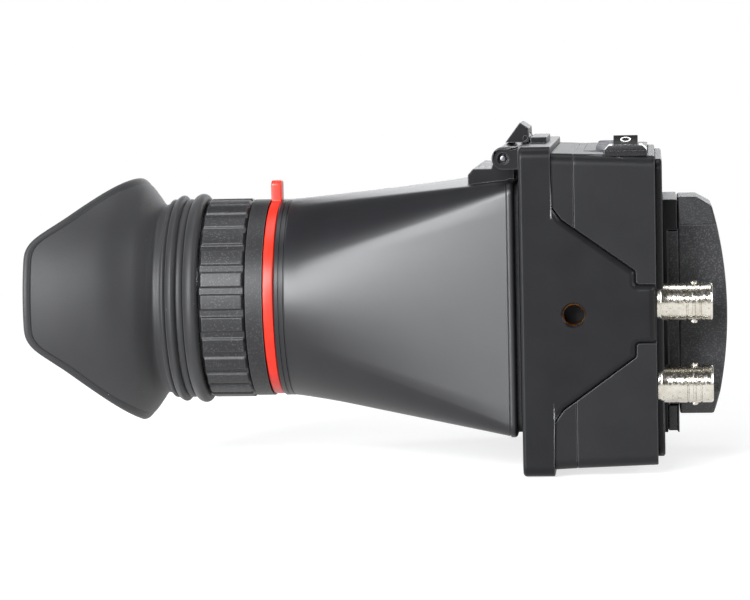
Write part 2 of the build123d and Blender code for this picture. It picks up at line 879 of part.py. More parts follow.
def power_switch_body():
    """Bevelled flange with the rocker's well, a body through the casing and two terminals."""
    x, y, z = rocker_pivot()
    half_x = switch_width / 2
    half_y = switch_length / 2
    flange_top = switch_seat + switch_flange
    body = block((x - half_x, y - half_y, switch_seat), (x + half_x, y + half_y, flange_top))
    body = chamfer(body.edges().group_by(Axis.Z)[-1], switch_bevel)
    low = (x - switch_body_width / 2, y - switch_body_length / 2, switch_seat - switch_body_depth)
    body = body + block(low, (x + switch_body_width / 2, y + switch_body_length / 2, switch_seat))
    well_x = rocker_width / 2 + side_gap
    well_y = math.hypot(rocker_half_length, rocker_crown) + side_gap
    well_low = z - rocker_keel - rocker_half_length * math.sin(math.radians(rocker_tilt))
    body = body - block((x - well_x, y - well_y, well_low), (x + well_x, y + well_y, z + rocker_crown + 1))
    axle = well_x + rocker_axle_length
    body = body - rod(rocker_axle_radius + run_gap, (x - axle, y, z), (x + axle, y, z))
    for side in (-1, 1):
        mid_y = y + side * switch_body_length / 4
        blade_low = (x - terminal_width / 2, mid_y - terminal_thick / 2, low[2] - terminal_length)
        body = body + block(blade_low, (x + terminal_width / 2, mid_y + terminal_thick / 2, low[2]))
    return body


def button_places():
    """Place across the body of each top button."""
    return [button_first_y + i * button_pitch for i in range(len(button_names))]


def button(y):
    """Round push button with a flange under the panel and a stem to its switch."""
    x = eye_x + button_x
    flange_top = panel_bottom - loose_gap
    cap = rod(button_radius, (x, y, flange_top), (x, y, panel_top + button_rise))
    cap = fillet(cap.edges().group_by(Axis.Z)[-1], button_round)
    flange = rod(button_flange_radius, (x, y, flange_top - button_flange_thick), (x, y, flange_top))
    stem_end = button_board_top() + tact_height + button_travel + side_gap
    return cap + flange + rod(button_stem_radius, (x, y, stem_end), (x, y, flange_top))


def control_panel():
    """Top panel with button holes and two posts that carry the button board."""
    low = (eye_x + panel_front_x, panel_near_y, panel_bottom)
    panel = block(low, (eye_x + panel_back_x, panel_far_y, panel_top))
    panel = fillet(panel.edges().filter_by(Axis.Z), panel_ledge / 2)
    x = eye_x + button_x
    for y in button_places():
        panel = panel - rod(button_radius + run_gap, (x, y, panel_bottom), (x, y, panel_top))
    for y in panel_post_places():
        panel = panel + rod(panel_post_radius, (x, y, button_board_top()), (x, y, panel_bottom))
    return panel


def panel_post_places():
    """Place across the body of the panel's two posts, outside the outer buttons."""
    first = button_first_y + button_pitch / 2
    return [first, first + (len(button_names) - 2) * button_pitch]


def button_board_top():
    """Height of the button board's upper face."""
    return panel_bottom - panel_post_length


def button_board():
    """Small circuit board under the top panel."""
    top = button_board_top()
    half = tact_size
    places = button_places()
    low = (eye_x + button_x - half, places[0] - half, top - button_board_thick)
    return block(low, (eye_x + button_x + half, places[-1] + half, top))


def tact_switches():
    """Tactile switch under each button."""
    top = button_board_top()
    half = tact_size / 2
    x = eye_x + button_x
    switch = block((x - half, -half, top), (x + half, half, top + tact_height))
    return group([Pos(0, y, 0) * switch for y in button_places()])


# Battery plate and battery


def catch_slot(gap, low_z, high_z, finger_low):
    """Catch or, with a gap, its slot: a finger part at the near side and a shorter inner part."""
    front = cover_back_x + catch_front - gap
    back = cover_back_x + catch_front + catch_depth + gap
    outer = block((front, -plate_half_width - gap, finger_low), (back, catch_finger_y, high_z))
    inner = block((front, catch_finger_y, low_z), (back, catch_inner_y + gap, high_z))
    return outer + inner


def battery_plate():
    """Plate with a block at each end that the battery seats between, and a rail down each side."""
    width = plate_half_width
    plate = block((cover_back_x, -width, plate_bottom), (cover_back_x + plate_thick, width, plate_top))
    block_x = cover_back_x + plate_block_depth
    plate = plate + block((cover_back_x, -width, plate_top_block), (block_x, width, plate_top))
    plate = plate + block((cover_back_x, -width, plate_bottom), (block_x, width, plate_low_block))
    rail_x = cover_back_x + plate_thick + contact_thick
    rail = block((cover_back_x, -width, plate_low_block), (rail_x, plate_rail - width, plate_top_block))
    plate = plate + rail + far_side(rail)
    plate = plate - catch_slot(side_gap, catch_spring_floor, plate_low_block + 1, plate_bottom - 1)
    for y, z in plate_screw_places():
        x = cover_back_x + plate_thick
        plate = plate - taper(cover_screw_head, cover_screw_radius, (x, y, z), (cover_back_x, y, z))
    return plate


def plate_screws():
    """Countersunk screws through the plate into the cover's bosses."""
    screws = []
    for y, z in plate_screw_places():
        x = cover_back_x + plate_thick
        shank = rod(cover_screw_radius, (cover_back_x - small_screw_length, y, z), (x, y, z))
        screws.append(shank + taper(cover_screw_head, cover_screw_radius, (x, y, z), (cover_back_x, y, z)))
    return group(screws)


def battery_contacts():
    """Contact pads on the plate."""
    x = cover_back_x + plate_thick
    first = -contact_pitch * (contact_count - 1) / 2
    half = contact_width / 2
    pads = []
    for i in range(contact_count):
        y = first + i * contact_pitch
        pads.append(block((x, y - half, contact_bottom), (x + contact_thick, y + half, contact_top)))
    return group(pads)


def battery_release():
    """Sliding catch that is pushed down to free the battery."""
    return catch_slot(0, catch_spring_top, plate_low_block - side_gap, catch_low)


def release_spring():
    """Small spring that pushes the catch up."""
    x = cover_back_x + catch_front + catch_depth / 2
    y = (catch_finger_y + catch_inner_y) / 2
    outer = rod(spring_radius, (x, y, catch_spring_floor), (x, y, catch_spring_top))
    return outer - rod(spring_radius - spring_wire, (x, y, catch_spring_floor), (x, y, catch_spring_top))


def battery_outline(inset):
    """Side view of the battery behind the plate's blocks, drawn in by a distance."""
    foot_x = battery_step_x + battery_depth - inset
    crown_x = foot_x + battery_crown
    low = battery_bottom + inset
    high = battery_top - inset
    shoulder = battery_shoulder - inset
    flat_x = battery_step_x + battery_top_flat - inset / 2
    edges = Line((battery_step_x, low), (foot_x, low))
    edges = edges + ThreePointArc((foot_x, low), (crown_x, (low + shoulder) / 2), (foot_x, shoulder))
    top = [(foot_x, shoulder), (flat_x, high), (battery_step_x, high), (battery_step_x, low)]
    edges = edges + Polyline(*top)
    return make_face(edges)


def battery_section(inset):
    """End view of the battery with its long edges bevelled, drawn in by a distance."""
    half = battery_half_width - inset
    flat = half - battery_bevel_side
    low = battery_bottom + inset
    high = battery_top - inset
    drop = battery_bevel_drop
    upper = [(-half, high - drop), (-flat, high), (flat, high), (half, high - drop)]
    lower = [(half, low + drop), (flat, low), (-flat, low), (-half, low + drop)]
    return make_face(Polyline(*upper, *lower, close=True))


def battery_form(inset):
    """Battery as a solid: the side view's outline cut to the bevelled end view."""
    half = battery_half_width - inset
    end_x = battery_step_x + battery_depth + battery_crown
    section = cross_slab(battery_section(inset), battery_step_x, end_x)
    return side_slab(battery_outline(inset), -half, half) & section


def battery_case():
    """Crowned outer case of the battery with bevelled long edges, open towards the plate."""
    return battery_form(0) - battery_form(battery_wall)


def battery_base():
    """Plate-side part of the battery, plugged into the case."""
    half = battery_half_width
    base = block((battery_x, -half, battery_step_low), (battery_step_x, half, battery_step_high))
    section = battery_section(battery_wall)
    return base + cross_slab(section, battery_step_x, battery_step_x + battery_base_thick)


def battery_cells():
    """Two flat cells side by side."""
    low_x = battery_step_x + battery_base_thick
    low_z = battery_bottom + battery_bevel_drop + battery_wall
    high_z = battery_top - battery_bevel_drop - battery_wall
    cell = block((low_x, run_gap, low_z), (low_x + cell_thick, cell_width, high_z))
    return group([cell, far_side(cell)])


# Hinge and release lever


def hinge_pins():
    """Pin in each hinge ear."""
    start = -hinge_ear_outer + pin_recess_depth / 2
    near = rod(pin_radius, (pin_x, start, pin_height), (pin_x, start + pin_length, pin_height))
    return group([near, far_side(near)])


def hinge_arm():
    """Arm on top of the cone, with a long barrel between the hinge ears."""
    front = eye_x - arm_front
    back = eye_x - arm_back
    points = [
        (front, cone_top - arm_root_depth),
        (front, arm_step_height),
        (front + arm_chamfer, arm_top_height),
        (eye_x - arm_web_front, arm_top_height),
        (pin_x - arm_barrel_radius, pin_height),
        (pin_x, pin_height),
        (back, pin_height - arm_back_drop),
        (back, cone_top - arm_root_depth),
    ]
    arm = side_slab(make_face(Polyline(*points, close=True)), -arm_half_width, arm_half_width)
    reach = hinge_ear_outer - hinge_ear_thick - loose_gap
    arm = arm + rod(arm_barrel_radius, (pin_x, -reach, pin_height), (pin_x, reach, pin_height))
    arm = arm - cone_body() - cone_rim()
    bore_end = pin_length + loose_gap - hinge_ear_outer + pin_recess_depth / 2
    bore = rod(pin_radius + run_gap, (pin_x, -reach, pin_height), (pin_x, bore_end, pin_height))
    arm = arm - bore - far_side(bore)
    for y in (-arm_screw_y, arm_screw_y):
        arm = arm - arm_screw(y)
    return arm


def arm_screw(y):
    """Countersunk screw down through the arm into the cone's top wall."""
    x = eye_x - arm_screw_x
    top = (x, y, arm_top_height)
    shank = rod(cover_screw_radius, (x, y, cone_top - cone_wall), top)
    return shank + taper(cover_screw_head, cover_screw_radius, top, (x, y, arm_top_height - head_depth))


def lever_axis():
    """Place along and height of the lever's pin."""
    return eye_x + lever_pivot_x, frame_height + lever_pivot_rise


def release_lever():
    """Thumb lever with a slanting face, forked round the bracket's lug."""
    x, z = lever_axis()
    low = frame_height + 2 * side_gap
    points = [
        (eye_x + lever_nose_x, low),
        (eye_x + lever_tip_x, frame_height + lever_tip_rise),
        (eye_x + lever_brow_x, frame_height + lever_brow_rise),
        (eye_x + lever_brow_x, z),
        (x, low),
    ]
    half = lever_half_width
    lever = side_slab(make_face(Polyline(*points, close=True)), -half, half)
    lever = lever + rod(lever_boss_radius, (x, -half, z), (x, half, z))
    fork = lever_lug_half + side_gap
    fork_radius = lever_boss_radius + loose_gap
    lever = lever - rod(fork_radius, (x, -fork, z), (x, fork + lever_spring_length, z))
    fork_low = (x, -fork, frame_height)
    lever = lever - block(fork_low, (x + fork_radius, fork + lever_spring_length, z + lever_boss_radius))
    return lever - rod(lever_pin_radius + run_gap, (x, -half, z), (x, half, z))


def lever_bracket():
    """Block on the frame with a lug for the lever's pin."""
    x, z = lever_axis()
    half = bracket_half_width
    low = (eye_x + bracket_front, -half, frame_height)
    bracket = block(low, (eye_x + bracket_back, half, frame_height + bracket_rise))
    lug = rod(lever_boss_radius, (x, -lever_lug_half, z), (x, lever_lug_half, z))
    lug = lug + block((x, -lever_lug_half, frame_height), (low[0] + bracket_lug_lap, lever_lug_half, z))
    return bracket + lug - rod(lever_pin_radius, (x, -lever_lug_half, z), (x, lever_lug_half, z))


def lever_pin():
    """Pin through the lever and its bracket."""
    x, z = lever_axis()
    return rod(lever_pin_radius, (x, -lever_half_width + side_gap, z), (x, lever_half_width - side_gap, z))


def lever_spring():
    """Torsion spring on the lever's pin."""
    x, z = lever_axis()
    start = (x, lever_lug_half + side_gap, z)
    end = (x, lever_lug_half + lever_spring_length - side_gap, z)
    return rod(lever_spring_radius, start, end) - rod(lever_pin_radius, start, end)


# Loupe


def round_section(x, radius):
    """Round section cut into eight arcs, four short ones for the flat sides."""
    half = cone_side_angle
    turns = []
    for quarter in range(4):
        middle = 90 * quarter
        turns.append((middle - half, middle + half))
        turns.append((middle + half, middle + 90 - half))

    def place(angle):
        turn = math.radians(angle)
        return (x, radius * math.cos(turn), axis_height + radius * math.sin(turn))

    arcs = [ThreePointArc(place(a), place((a + b) / 2), place(b)) for a, b in turns]
    return Wire([arc.edge() for arc in arcs])


def square_section(x, half_width, bottom, top, corner):
    """Rectangular section with round corners, cut like the round one."""
    mid = corner * (1 - math.sqrt(0.5))
    side = half_width
    flat = half_width - corner
    low = bottom + corner
    high = top - corner
    places = [
        ((side, low), None, (side, high)),
        ((side, high), (side - mid, top - mid), (flat, top)),
        ((flat, top), None, (-flat, top)),
        ((-flat, top), (-side + mid, top - mid), (-side, high)),
        ((-side, high), None, (-side, low)),
        ((-side, low), (-side + mid, bottom + mid), (-flat, bottom)),
        ((-flat, bottom), None, (flat, bottom)),
        ((flat, bottom), (side - mid, bottom + mid), (side, low)),
    ]
    edges = []
    for start, middle, end in places:
        if middle is None:
            edges.append(Line((x, *start), (x, *end)).edge())
        else:
            edges.append(ThreePointArc((x, *start), (x, *middle), (x, *end)).edge())
    return Wire(edges)


def cone_body():
    """Outer form of the cone, solid, from the collar to the square end."""
    round_x = eye_x + cone_round_x
    square_x = eye_x + cone_square_x
    square = square_section(square_x, cone_half_width, cone_bottom, cone_top, cone_corner)
    body = Part(Solid.make_loft([round_section(round_x, cone_round_radius), square], True).wrapped)
    collar = rod(cone_round_radius, (round_x - cone_collar, 0, axis_height), (round_x, 0, axis_height))
    return body + collar


def cone_rim():
    """Rim round the cone's square end, solid."""
    square_x = eye_x + cone_square_x
    step = rim_step
    outline = plate_outline(cone_half_width + step, cone_bottom - step, cone_top + step, cone_corner + step)
    rim = cross_slab(outline, square_x, square_x + rim_thick)
    return fillet(rim.edges().group_by(Axis.X)[-1], rim_round)


def loupe_cone():
    """Hollow square-to-round cone with a collar and a rim."""
    inner_x = eye_x + barrel_back
    square_x = eye_x + cone_square_x + rim_thick
    wall = cone_wall
    inner_corner = max(cone_corner - wall, 0.8)
    low, high = cone_bottom + wall, cone_top - wall
    square = square_section(square_x, cone_half_width - wall, low, high, inner_corner)
    hollow = Part(Solid.make_loft([round_section(inner_x, barrel_radius), square], True).wrapped)
    start_x = eye_x + cone_round_x - cone_collar
    bore = rod(barrel_radius + seat_gap, (start_x, 0, axis_height), (inner_x, 0, axis_height))
    cone = cone_body() + cone_rim() - hollow - bore
    for y in (-arm_screw_y, arm_screw_y):
        cone = cone - arm_screw(y)
    return cone


def arm_screws():
    """Screws that hold the hinge arm on the cone."""
    return group([arm_screw(-arm_screw_y), arm_screw(arm_screw_y)])


def loupe_seal():
    """Soft seal on the cone's rim that closes on the frame."""
    low_x = eye_x + cone_square_x + rim_thick
    half = cone_half_width - seal_inset
    outer = plate_outline(half, cone_bottom + seal_inset, cone_top - seal_inset, cone_corner)
    inset = seal_inset + seal_width
    inner = plate_outline(cone_half_width - inset, cone_bottom + inset, cone_top - inset, cone_corner / 2)
    return cross_slab(outer, low_x, low_x + seal_thick) - cross_slab(inner, low_x, low_x + seal_thick)


def barrel_tube():
    """Fixed eyepiece tube with a band, guide slots and a groove for the eyecup's ring."""
    groove = barrel_radius - clip_groove_depth
    points = [
        (eye_x + barrel_front, barrel_bore),
        (eye_x + barrel_back, barrel_bore),
        (eye_x + barrel_back, barrel_radius),
        (eye_x + barrel_band_back, barrel_radius),
        (eye_x + barrel_band_back, barrel_band_radius),
        (eye_x + barrel_band_front, barrel_band_radius),
        (eye_x + barrel_band_front, barrel_radius),
        (eye_x + clip_groove_front + clip_groove_width, barrel_radius),
        (eye_x + clip_groove_front + clip_groove_width, groove),
        (eye_x + clip_groove_front, groove),
        (eye_x + clip_groove_front, barrel_radius),
        (eye_x + barrel_front, barrel_radius),
    ]
    tube_solid = turned(points)
    reach = focus_slide + guide_radius + guide_gap
    wide = guide_radius + guide_gap
    low = (eye_x + guide_x - reach, -wide, axis_height + barrel_bore - 1)
    slot = block(low, (eye_x + guide_x + reach, wide, axis_height + barrel_radius + 1))
    for i in range(guide_count):
        tube_solid = tube_solid - about_axis(slot, 360 * i / guide_count)
    return tube_solid


def lock_ring():
    """Ring with an upright tab that locks the eyepiece."""
    low_x = eye_x + barrel_band_back + side_gap
    high_x = eye_x + cone_round_x - cone_collar - side_gap
    ring = tube(barrel_radius + run_gap, lock_ring_radius, low_x, high_x)
    tab_low = (low_x, -tab_half_width, axis_height + (barrel_radius + lock_ring_radius) / 2)
    tab = block(tab_low, (high_x, tab_half_width, axis_height + tab_reach))
    tab = fillet(tab.edges().filter_by(Axis.X).group_by(Axis.Z)[-1], tab_half_width / 2)
    return ring + tab


def focus_slot():
    """Helical slot for one guide pin, about +X, with its middle at the top."""
    lead = 360 * focus_slide / focus_turn
    extra = (guide_radius + guide_gap) * 2 * math.sin(math.atan(lead / (2 * math.pi * barrel_radius)))
    height = 2 * focus_slide + extra + 4 * guide_gap
    path_radius = (barrel_radius + focus_core_radius) / 2
    path = Helix(lead, height, path_radius)
    span = 360 * height / lead
    wide = 2 * (guide_radius + guide_gap)
    start = Plane(origin=path @ 0, z_dir=path % 0, x_dir=(1, 0, 0))
    profile = start * Rectangle(4 * (focus_core_radius - barrel_radius), wide)
    slot = sweep(profile, path, is_frenet=True)
    slot = slot.rotate(Axis.Z, -span / 2).move(Location((0, 0, -height / 2)))
    slot = slot.rotate(Axis.Y, 90)
    slot = slot.rotate(Axis.X, 180)
    return slot.move(Location((eye_x + guide_x, 0, axis_height)))


def focus_ring():
    """Hard core of the focus ring with a helical slot for each guide pin."""
    high_x = eye_x + barrel_band_front - side_gap
    ring = tube(barrel_radius + run_gap, focus_core_radius, eye_x + focus_front, high_x)
    slot = focus_slot()
    for i in range(guide_count):
        ring = ring - about_axis(slot, 360 * i / guide_count)
    return ring


def focus_grip():
    """Rubber sleeve with raised ribs on the focus ring."""
    low_x = eye_x + focus_front + grip_front_margin / 2
    high_x = eye_x + barrel_band_front - grip_back_margin / 2
    sleeve = tube(focus_core_radius, grip_radius, low_x, high_x)
    half = grip_rib_width / 2
    rib_low = (low_x + grip_front_margin, -half, axis_height + (focus_core_radius + grip_radius) / 2)
    rib = block(rib_low, (high_x - grip_back_margin, half, axis_height + grip_rib_radius))
    ribs = [about_axis(rib, 360 * i / grip_rib_count) for i in range(grip_rib_count)]
    return sleeve + ribs


def guide_pins():
    """Pins from the lens cell, through the barrel, into the focus ring's slots."""
    x = eye_x + guide_x
    tip = (x, 0, axis_height + focus_core_radius - guide_gap)
    pin = rod(guide_radius, (x, 0, axis_height + cell_bore), tip)
    return group([about_axis(pin, 360 * i / guide_count) for i in range(guide_count)])


def lens_cell():
    """Sliding tube that holds the lenses, with a lip at its back."""
    points = [
        (eye_x + cell_front, cell_bore),
        (eye_x + cell_back - cell_lip, cell_bore),
        (eye_x + cell_back - cell_lip, cell_lip_radius),
        (eye_x + cell_back, cell_lip_radius),
        (eye_x + cell_back, cell_radius),
        (eye_x + cell_front, cell_radius),
    ]
    cell = turned(points)
    x = eye_x + guide_x
    pin = rod(guide_radius, (x, 0, axis_height), (x, 0, axis_height + barrel_radius))
    for i in range(guide_count):
        cell = cell - about_axis(pin, 360 * i / guide_count)
    return cell


def lens(front_x, back_x, front_bulge, back_bulge):
    """Round lens with a rim between two stations and a bulge on either face."""

    def half_face(bulge):
        curve = (lens_radius ** 2 + bulge ** 2) / (2 * bulge)
        return math.sqrt(curve ** 2 - (lens_radius / 2) ** 2) - (curve - bulge)

    low = axis_height
    rim = axis_height + lens_radius
    half = axis_height + lens_radius / 2
    front_apex = (front_x - front_bulge, low)
    edges = ThreePointArc(front_apex, (front_x - half_face(front_bulge), half), (front_x, rim))
    edges = edges + Line((front_x, rim), (back_x, rim))
    if back_bulge > 0:
        back_apex = (back_x + back_bulge, low)
        edges = edges + ThreePointArc((back_x, rim), (back_x + half_face(back_bulge), half), back_apex)
    else:
        back_apex = (back_x, low)
        edges = edges + Line((back_x, rim), back_apex)
    edges = edges + Line(back_apex, front_apex)
    return revolve(Plane.XZ * make_face(edges), optical_axis)


def eye_lens_x():
    """Front edge of the eye lens, behind the retainer."""
    return eye_x + cell_front + side_gap + retainer_thick


def eye_lens():
    """Lens nearest the eye, round on both faces."""
    front = eye_lens_x()
    return lens(front, front + eye_lens_edge, eye_lens_bulge, eye_lens_bulge)


def field_lens():
    """Lens nearest the display, flat at the back."""
    back = eye_x + cell_back - cell_lip
    return lens(back - field_lens_edge, back, field_lens_bulge, 0)


def lens_spacer():
    """Ring that keeps the two lenses apart."""
    low = eye_lens_x() + eye_lens_edge
    ring = tube(spacer_bore, lens_radius, low, eye_x + cell_back - cell_lip - field_lens_edge)
    return ring - eye_lens() - field_lens()


def lens_retainer():
    """Screwed ring that holds the lenses in their cell."""
    low = eye_x + cell_front + side_gap
    return tube(retainer_radius, cell_bore, low, low + retainer_thick) - eye_lens()


def eyecup_ring():
    """Hard ring that turns on the barrel, held by a bead in the barrel's groove."""
    inner = barrel_radius + run_gap
    bead = barrel_radius - clip_groove_depth + side_gap
    bead_front = eye_x + clip_groove_front + side_gap
    bead_back = eye_x + clip_groove_front + clip_groove_width - side_gap
    points = [
        (eye_x + cup_ring_front, inner),
        (bead_front, inner),
        (bead_front, bead),
        (bead_back, bead),
        (bead_back, inner),
        (eye_x + focus_front - side_gap, inner),
        (eye_x + focus_front - side_gap, cup_ring_radius),
        (eye_x + cup_ring_front, cup_ring_radius),
    ]
    return turned(points)


def eyecup_shell():
    """Bellows and flare as one soft wall turned about the optical axis, as far as the wing's tip."""
    ring_top = axis_height + cup_ring_radius
    outer = cup_bellows + cup_flare + [(cup_wing_tip, cup_tip_step)]
    outer_points = [(cup_plane - d, ring_top + step) for d, step in outer]
    ring_depth = cup_back - cup_ring_front
    inner_points = [(cup_plane - d, ring_top + step) for d, step in cup_inside]
    tip = (cup_plane - cup_wing_tip, ring_top + cup_tip_step - cup_wall)
    edges = Spline(*outer_points)
    edges = edges + Line(outer_points[-1], tip)
    throat = (cup_plane - ring_depth - side_gap, ring_top - cup_throat_drop)
    edges = edges + Spline(tip, *reversed(inner_points), throat)
    step = (throat[0], ring_top)
    edges = edges + Polyline(throat, step, (cup_plane, ring_top), outer_points[0])
    return revolve(Plane.XZ * make_face(edges), optical_axis)


def eyecup():
    """Rubber eyecup: the wall is kept to a low rim all round and one tall wing on the near side."""
    reach = 2 * cup_rim_radius
    rim_x = cup_plane - cup_rim
    tip_x = cup_plane - cup_wing_tip
    upper = [
        (cup_plane + 1, reach),
        (rim_x, reach),
        (rim_x, cup_rim_radius),
        (tip_x + cup_tip_corner, cup_tip_half + cup_tip_corner),
        (tip_x, cup_tip_half),
    ]
    points = [(x, axis_height + z) for x, z in upper]
    points = points + [(x, axis_height - z) for x, z in reversed(upper)]
    near = side_slab(make_face(Polyline(*points, close=True)), -reach, 0)
    far = block((rim_x, 0, axis_height - reach), (cup_plane + 1, reach, axis_height + reach))
    cup = eyecup_shell() & (near + far)
    return about_axis(cup, cup_turn)


def pieces():
    """Every piece by its name."""
    made = {
        "front_frame": front_frame(),
        "thread_inserts": thread_inserts(),
        "frame_screws": frame_screws(),
        "front_shell": front_shell(),
        "rear_shell": rear_shell(),
        "rear_cover": rear_cover(),
        "cover_screws": cover_screws(),
        "window_gasket": window_gasket(),
        "display_window": display_layer(display_width, display_height, window_x, lcd_x),
        "lcd_panel": display_layer(display_width, display_height, lcd_x, backlight_x),
        "backlight": display_layer(display_width, display_height, backlight_x, frame_back_x),
        "display_flex": display_flex(),
        "main_board": main_board(),
        "board_screws": board_screws(),
        "sdi_in_body": socket_body(socket_high),
        "sdi_in_insulator": socket_insulator(socket_high),
        "sdi_in_contact": socket_contact(socket_high),
        "sdi_out_body": socket_body(socket_low),
        "sdi_out_insulator": socket_insulator(socket_low),
        "sdi_out_contact": socket_contact(socket_low),
        "sdi_nuts": sdi_nuts(),
        "power_switch_body": power_switch_body(),
        "power_rocker": power_rocker(),
        "control_panel": control_panel(),
        "button_board": button_board(),
        "tact_switches": tact_switches(),
        "battery_plate": battery_plate(),
        "plate_screws": plate_screws(),
        "battery_contacts": battery_contacts(),
        "battery_release": battery_release(),
        "release_spring": release_spring(),
        "battery_case": battery_case(),
        "battery_base": battery_base(),
        "battery_cells": battery_cells(),
        "hinge_pins": hinge_pins(),
        "hinge_arm": hinge_arm(),
        "arm_screws": arm_screws(),
        "release_lever": release_lever(),
        "lever_bracket": lever_bracket(),
        "lever_pin": lever_pin(),
        "lever_spring": lever_spring(),
        "loupe_cone": loupe_cone(),
        "loupe_seal": loupe_seal(),
        "barrel_tube": barrel_tube(),
        "lock_ring": lock_ring(),
        "focus_ring": focus_ring(),
        "focus_grip": focus_grip(),
        "guide_pins": guide_pins(),
        "lens_cell": lens_cell(),
        "eye_lens": eye_lens(),
        "field_lens": field_lens(),
        "lens_spacer": lens_spacer(),
        "lens_retainer": lens_retainer(),
        "eyecup_ring": eyecup_ring(),
        "eyecup": eyecup(),
    }
    for name, y in zip(button_names, button_places()):
        made[name] = button(y)
    return made


os.makedirs("parts", exist_ok=True)
for name, shape in pieces().items():
    export_step(shape, os.path.join("parts", name + ".step"))
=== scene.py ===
import json
import math

import bmesh
import bpy
from mathutils import Matrix, Vector
from mathutils.bvhtree import BVHTree


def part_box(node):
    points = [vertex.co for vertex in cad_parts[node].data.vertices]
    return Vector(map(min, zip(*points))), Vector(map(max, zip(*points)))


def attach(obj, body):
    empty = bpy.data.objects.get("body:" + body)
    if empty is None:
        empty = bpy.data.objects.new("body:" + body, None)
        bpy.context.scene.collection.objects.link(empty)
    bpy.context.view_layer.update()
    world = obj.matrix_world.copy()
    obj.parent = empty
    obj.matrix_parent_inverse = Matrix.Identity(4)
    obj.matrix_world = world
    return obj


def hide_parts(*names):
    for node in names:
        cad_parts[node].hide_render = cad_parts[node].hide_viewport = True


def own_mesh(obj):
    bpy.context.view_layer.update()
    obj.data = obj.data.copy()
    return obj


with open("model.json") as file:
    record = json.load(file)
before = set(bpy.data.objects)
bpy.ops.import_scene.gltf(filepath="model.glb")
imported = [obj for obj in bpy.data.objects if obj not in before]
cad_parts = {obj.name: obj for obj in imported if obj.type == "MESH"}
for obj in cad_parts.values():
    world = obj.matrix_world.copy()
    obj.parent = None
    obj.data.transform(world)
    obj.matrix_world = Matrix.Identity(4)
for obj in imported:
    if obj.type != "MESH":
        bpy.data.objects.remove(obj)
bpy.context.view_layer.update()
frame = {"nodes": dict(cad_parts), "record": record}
nodes = frame["nodes"]
body_of = {n: b for b, names in frame["record"]["behaviour"]["bodies"].items() for n in names}

# Lengths below are in millimetres; the scene is in metres
MM = 0.001

# Places shared with the part: eye-side face, optical axis and the side thread
EYE_X = -13.4
AXIS_Z = 43.4
EAR_Z = 41.4
HALF_WIDTH = 43.0

# Kinds of node that are used most
MATH = "ShaderNodeMath"
MIX = "ShaderNodeMix"
NOISE = "ShaderNodeTexNoise"
RANGE = "ShaderNodeMapRange"


# Small tools


def linear(code):
    """Linear colour of an sRGB hex code."""
    parts = [int(code[i:i + 2], 16) / 255 for i in (1, 3, 5)]
    bent = [c / 12.92 if c <= 0.04045 else ((c + 0.055) / 1.055) ** 2.4 for c in parts]
    return (*bent, 1.0)


def usable(sockets, key):
    """Socket in use on a node, by its name or its place."""
    shown = [s for s in sockets if s.enabled]
    if isinstance(key, int):
        return shown[key]
    return next(s for s in shown if s.name == key)


def feed(tree, node, inputs):
    """Give a node's inputs plain values, hex colours or other nodes' outputs."""
    for key, value in inputs.items():
        target = usable(node.inputs, key)
        if isinstance(value, str):
            value = linear(value)
        if isinstance(value, bpy.types.Node):
            value = usable(value.outputs, 0)
        if isinstance(value, bpy.types.NodeSocket):
            tree.links.new(value, target)
        else:
            target.default_value = value


def add(tree, kind, *inputs, **settings):
    """Add a node, set it up and feed its inputs, given in order or by name in a dictionary."""
    node = tree.nodes.new(kind)
    for name, value in settings.items():
        setattr(node, name, value)
    named = inputs and isinstance(inputs[0], dict)
    feed(tree, node, inputs[0] if named else dict(enumerate(inputs)))
    return node


def out(node, key):
    """Output of a node by its name."""
    return usable(node.outputs, key)


def per_mm(size):
    """Texture scale that gives a pattern this size in millimetres."""
    return 1 / (size * MM)


# Materials

NOISE_SPAN = (0.3, 0.7)  # where nearly all of a noise's values lie
FULL_EDGE_LIKENESS = 0.84  # likeness of true and softened normals where an edge is palest, for wear and a painted edge highlight
CLOUD_STEP = 5  # step up in each sRGB channel to a patch's paler shade
CLOUD_SIZE = 9.0  # faint patches of a moulded or painted surface
FINE_SHARE = 0.7  # size of the finest lumps as a share of the grain's
LUMP_SPAN = (0.5, 1.3)  # where nearly all of a grain's heights lie
GLINT_PAINT_SHARE = 0.13  # how far a facet's painted glint goes towards the pale shade


def made(recipe):
    """Material named after the function that makes it."""
    material = recipe()
    material.name = recipe.__name__
    return material


def new_material():
    """Empty node material with its shader and the piece's own coordinates."""
    material = bpy.data.materials.new("surface")
    material.use_nodes = True
    tree = material.node_tree
    tree.nodes.clear()
    shader = add(tree, "ShaderNodeBsdfPrincipled")
    add(tree, "ShaderNodeOutputMaterial", {"Surface": shader})
    place = out(add(tree, "ShaderNodeTexCoord"), "Object")
    return material, tree, shader, place


def clouded(tree, place, size, first, second):
    """Colour that drifts between two shades in clouds this many millimetres across."""
    cloud = add(tree, NOISE, place, per_mm(size), 3.0)
    return add(tree, MIX, add(tree, RANGE, cloud, *NOISE_SPAN), first, second, data_type="RGBA")


def coloured(tree, shader, share, first, second):
    """Run the surface's colour from the first to the second as a share goes from 0 to 1."""
    feed(tree, shader, {"Base Color": add(tree, MIX, share, first, second, data_type="RGBA")})


def worked_surface(tree, shader, pattern, gloss, depth, span=NOISE_SPAN):
    """Let a pattern, running over a span, set the roughness and stand up by a depth in mm."""
    feed(tree, shader, {
        "Roughness": add(tree, RANGE, pattern, *span, *gloss),
        "Normal": add(tree, "ShaderNodeBump", {"Height": pattern, "Distance": depth * MM}),
    })


def uneven(tree, shader, place, size, gloss, depth, detail=3.0):
    """Surface worked by soft lumps this many millimetres across."""
    worked_surface(tree, shader, add(tree, NOISE, place, per_mm(size), detail), gloss, depth)


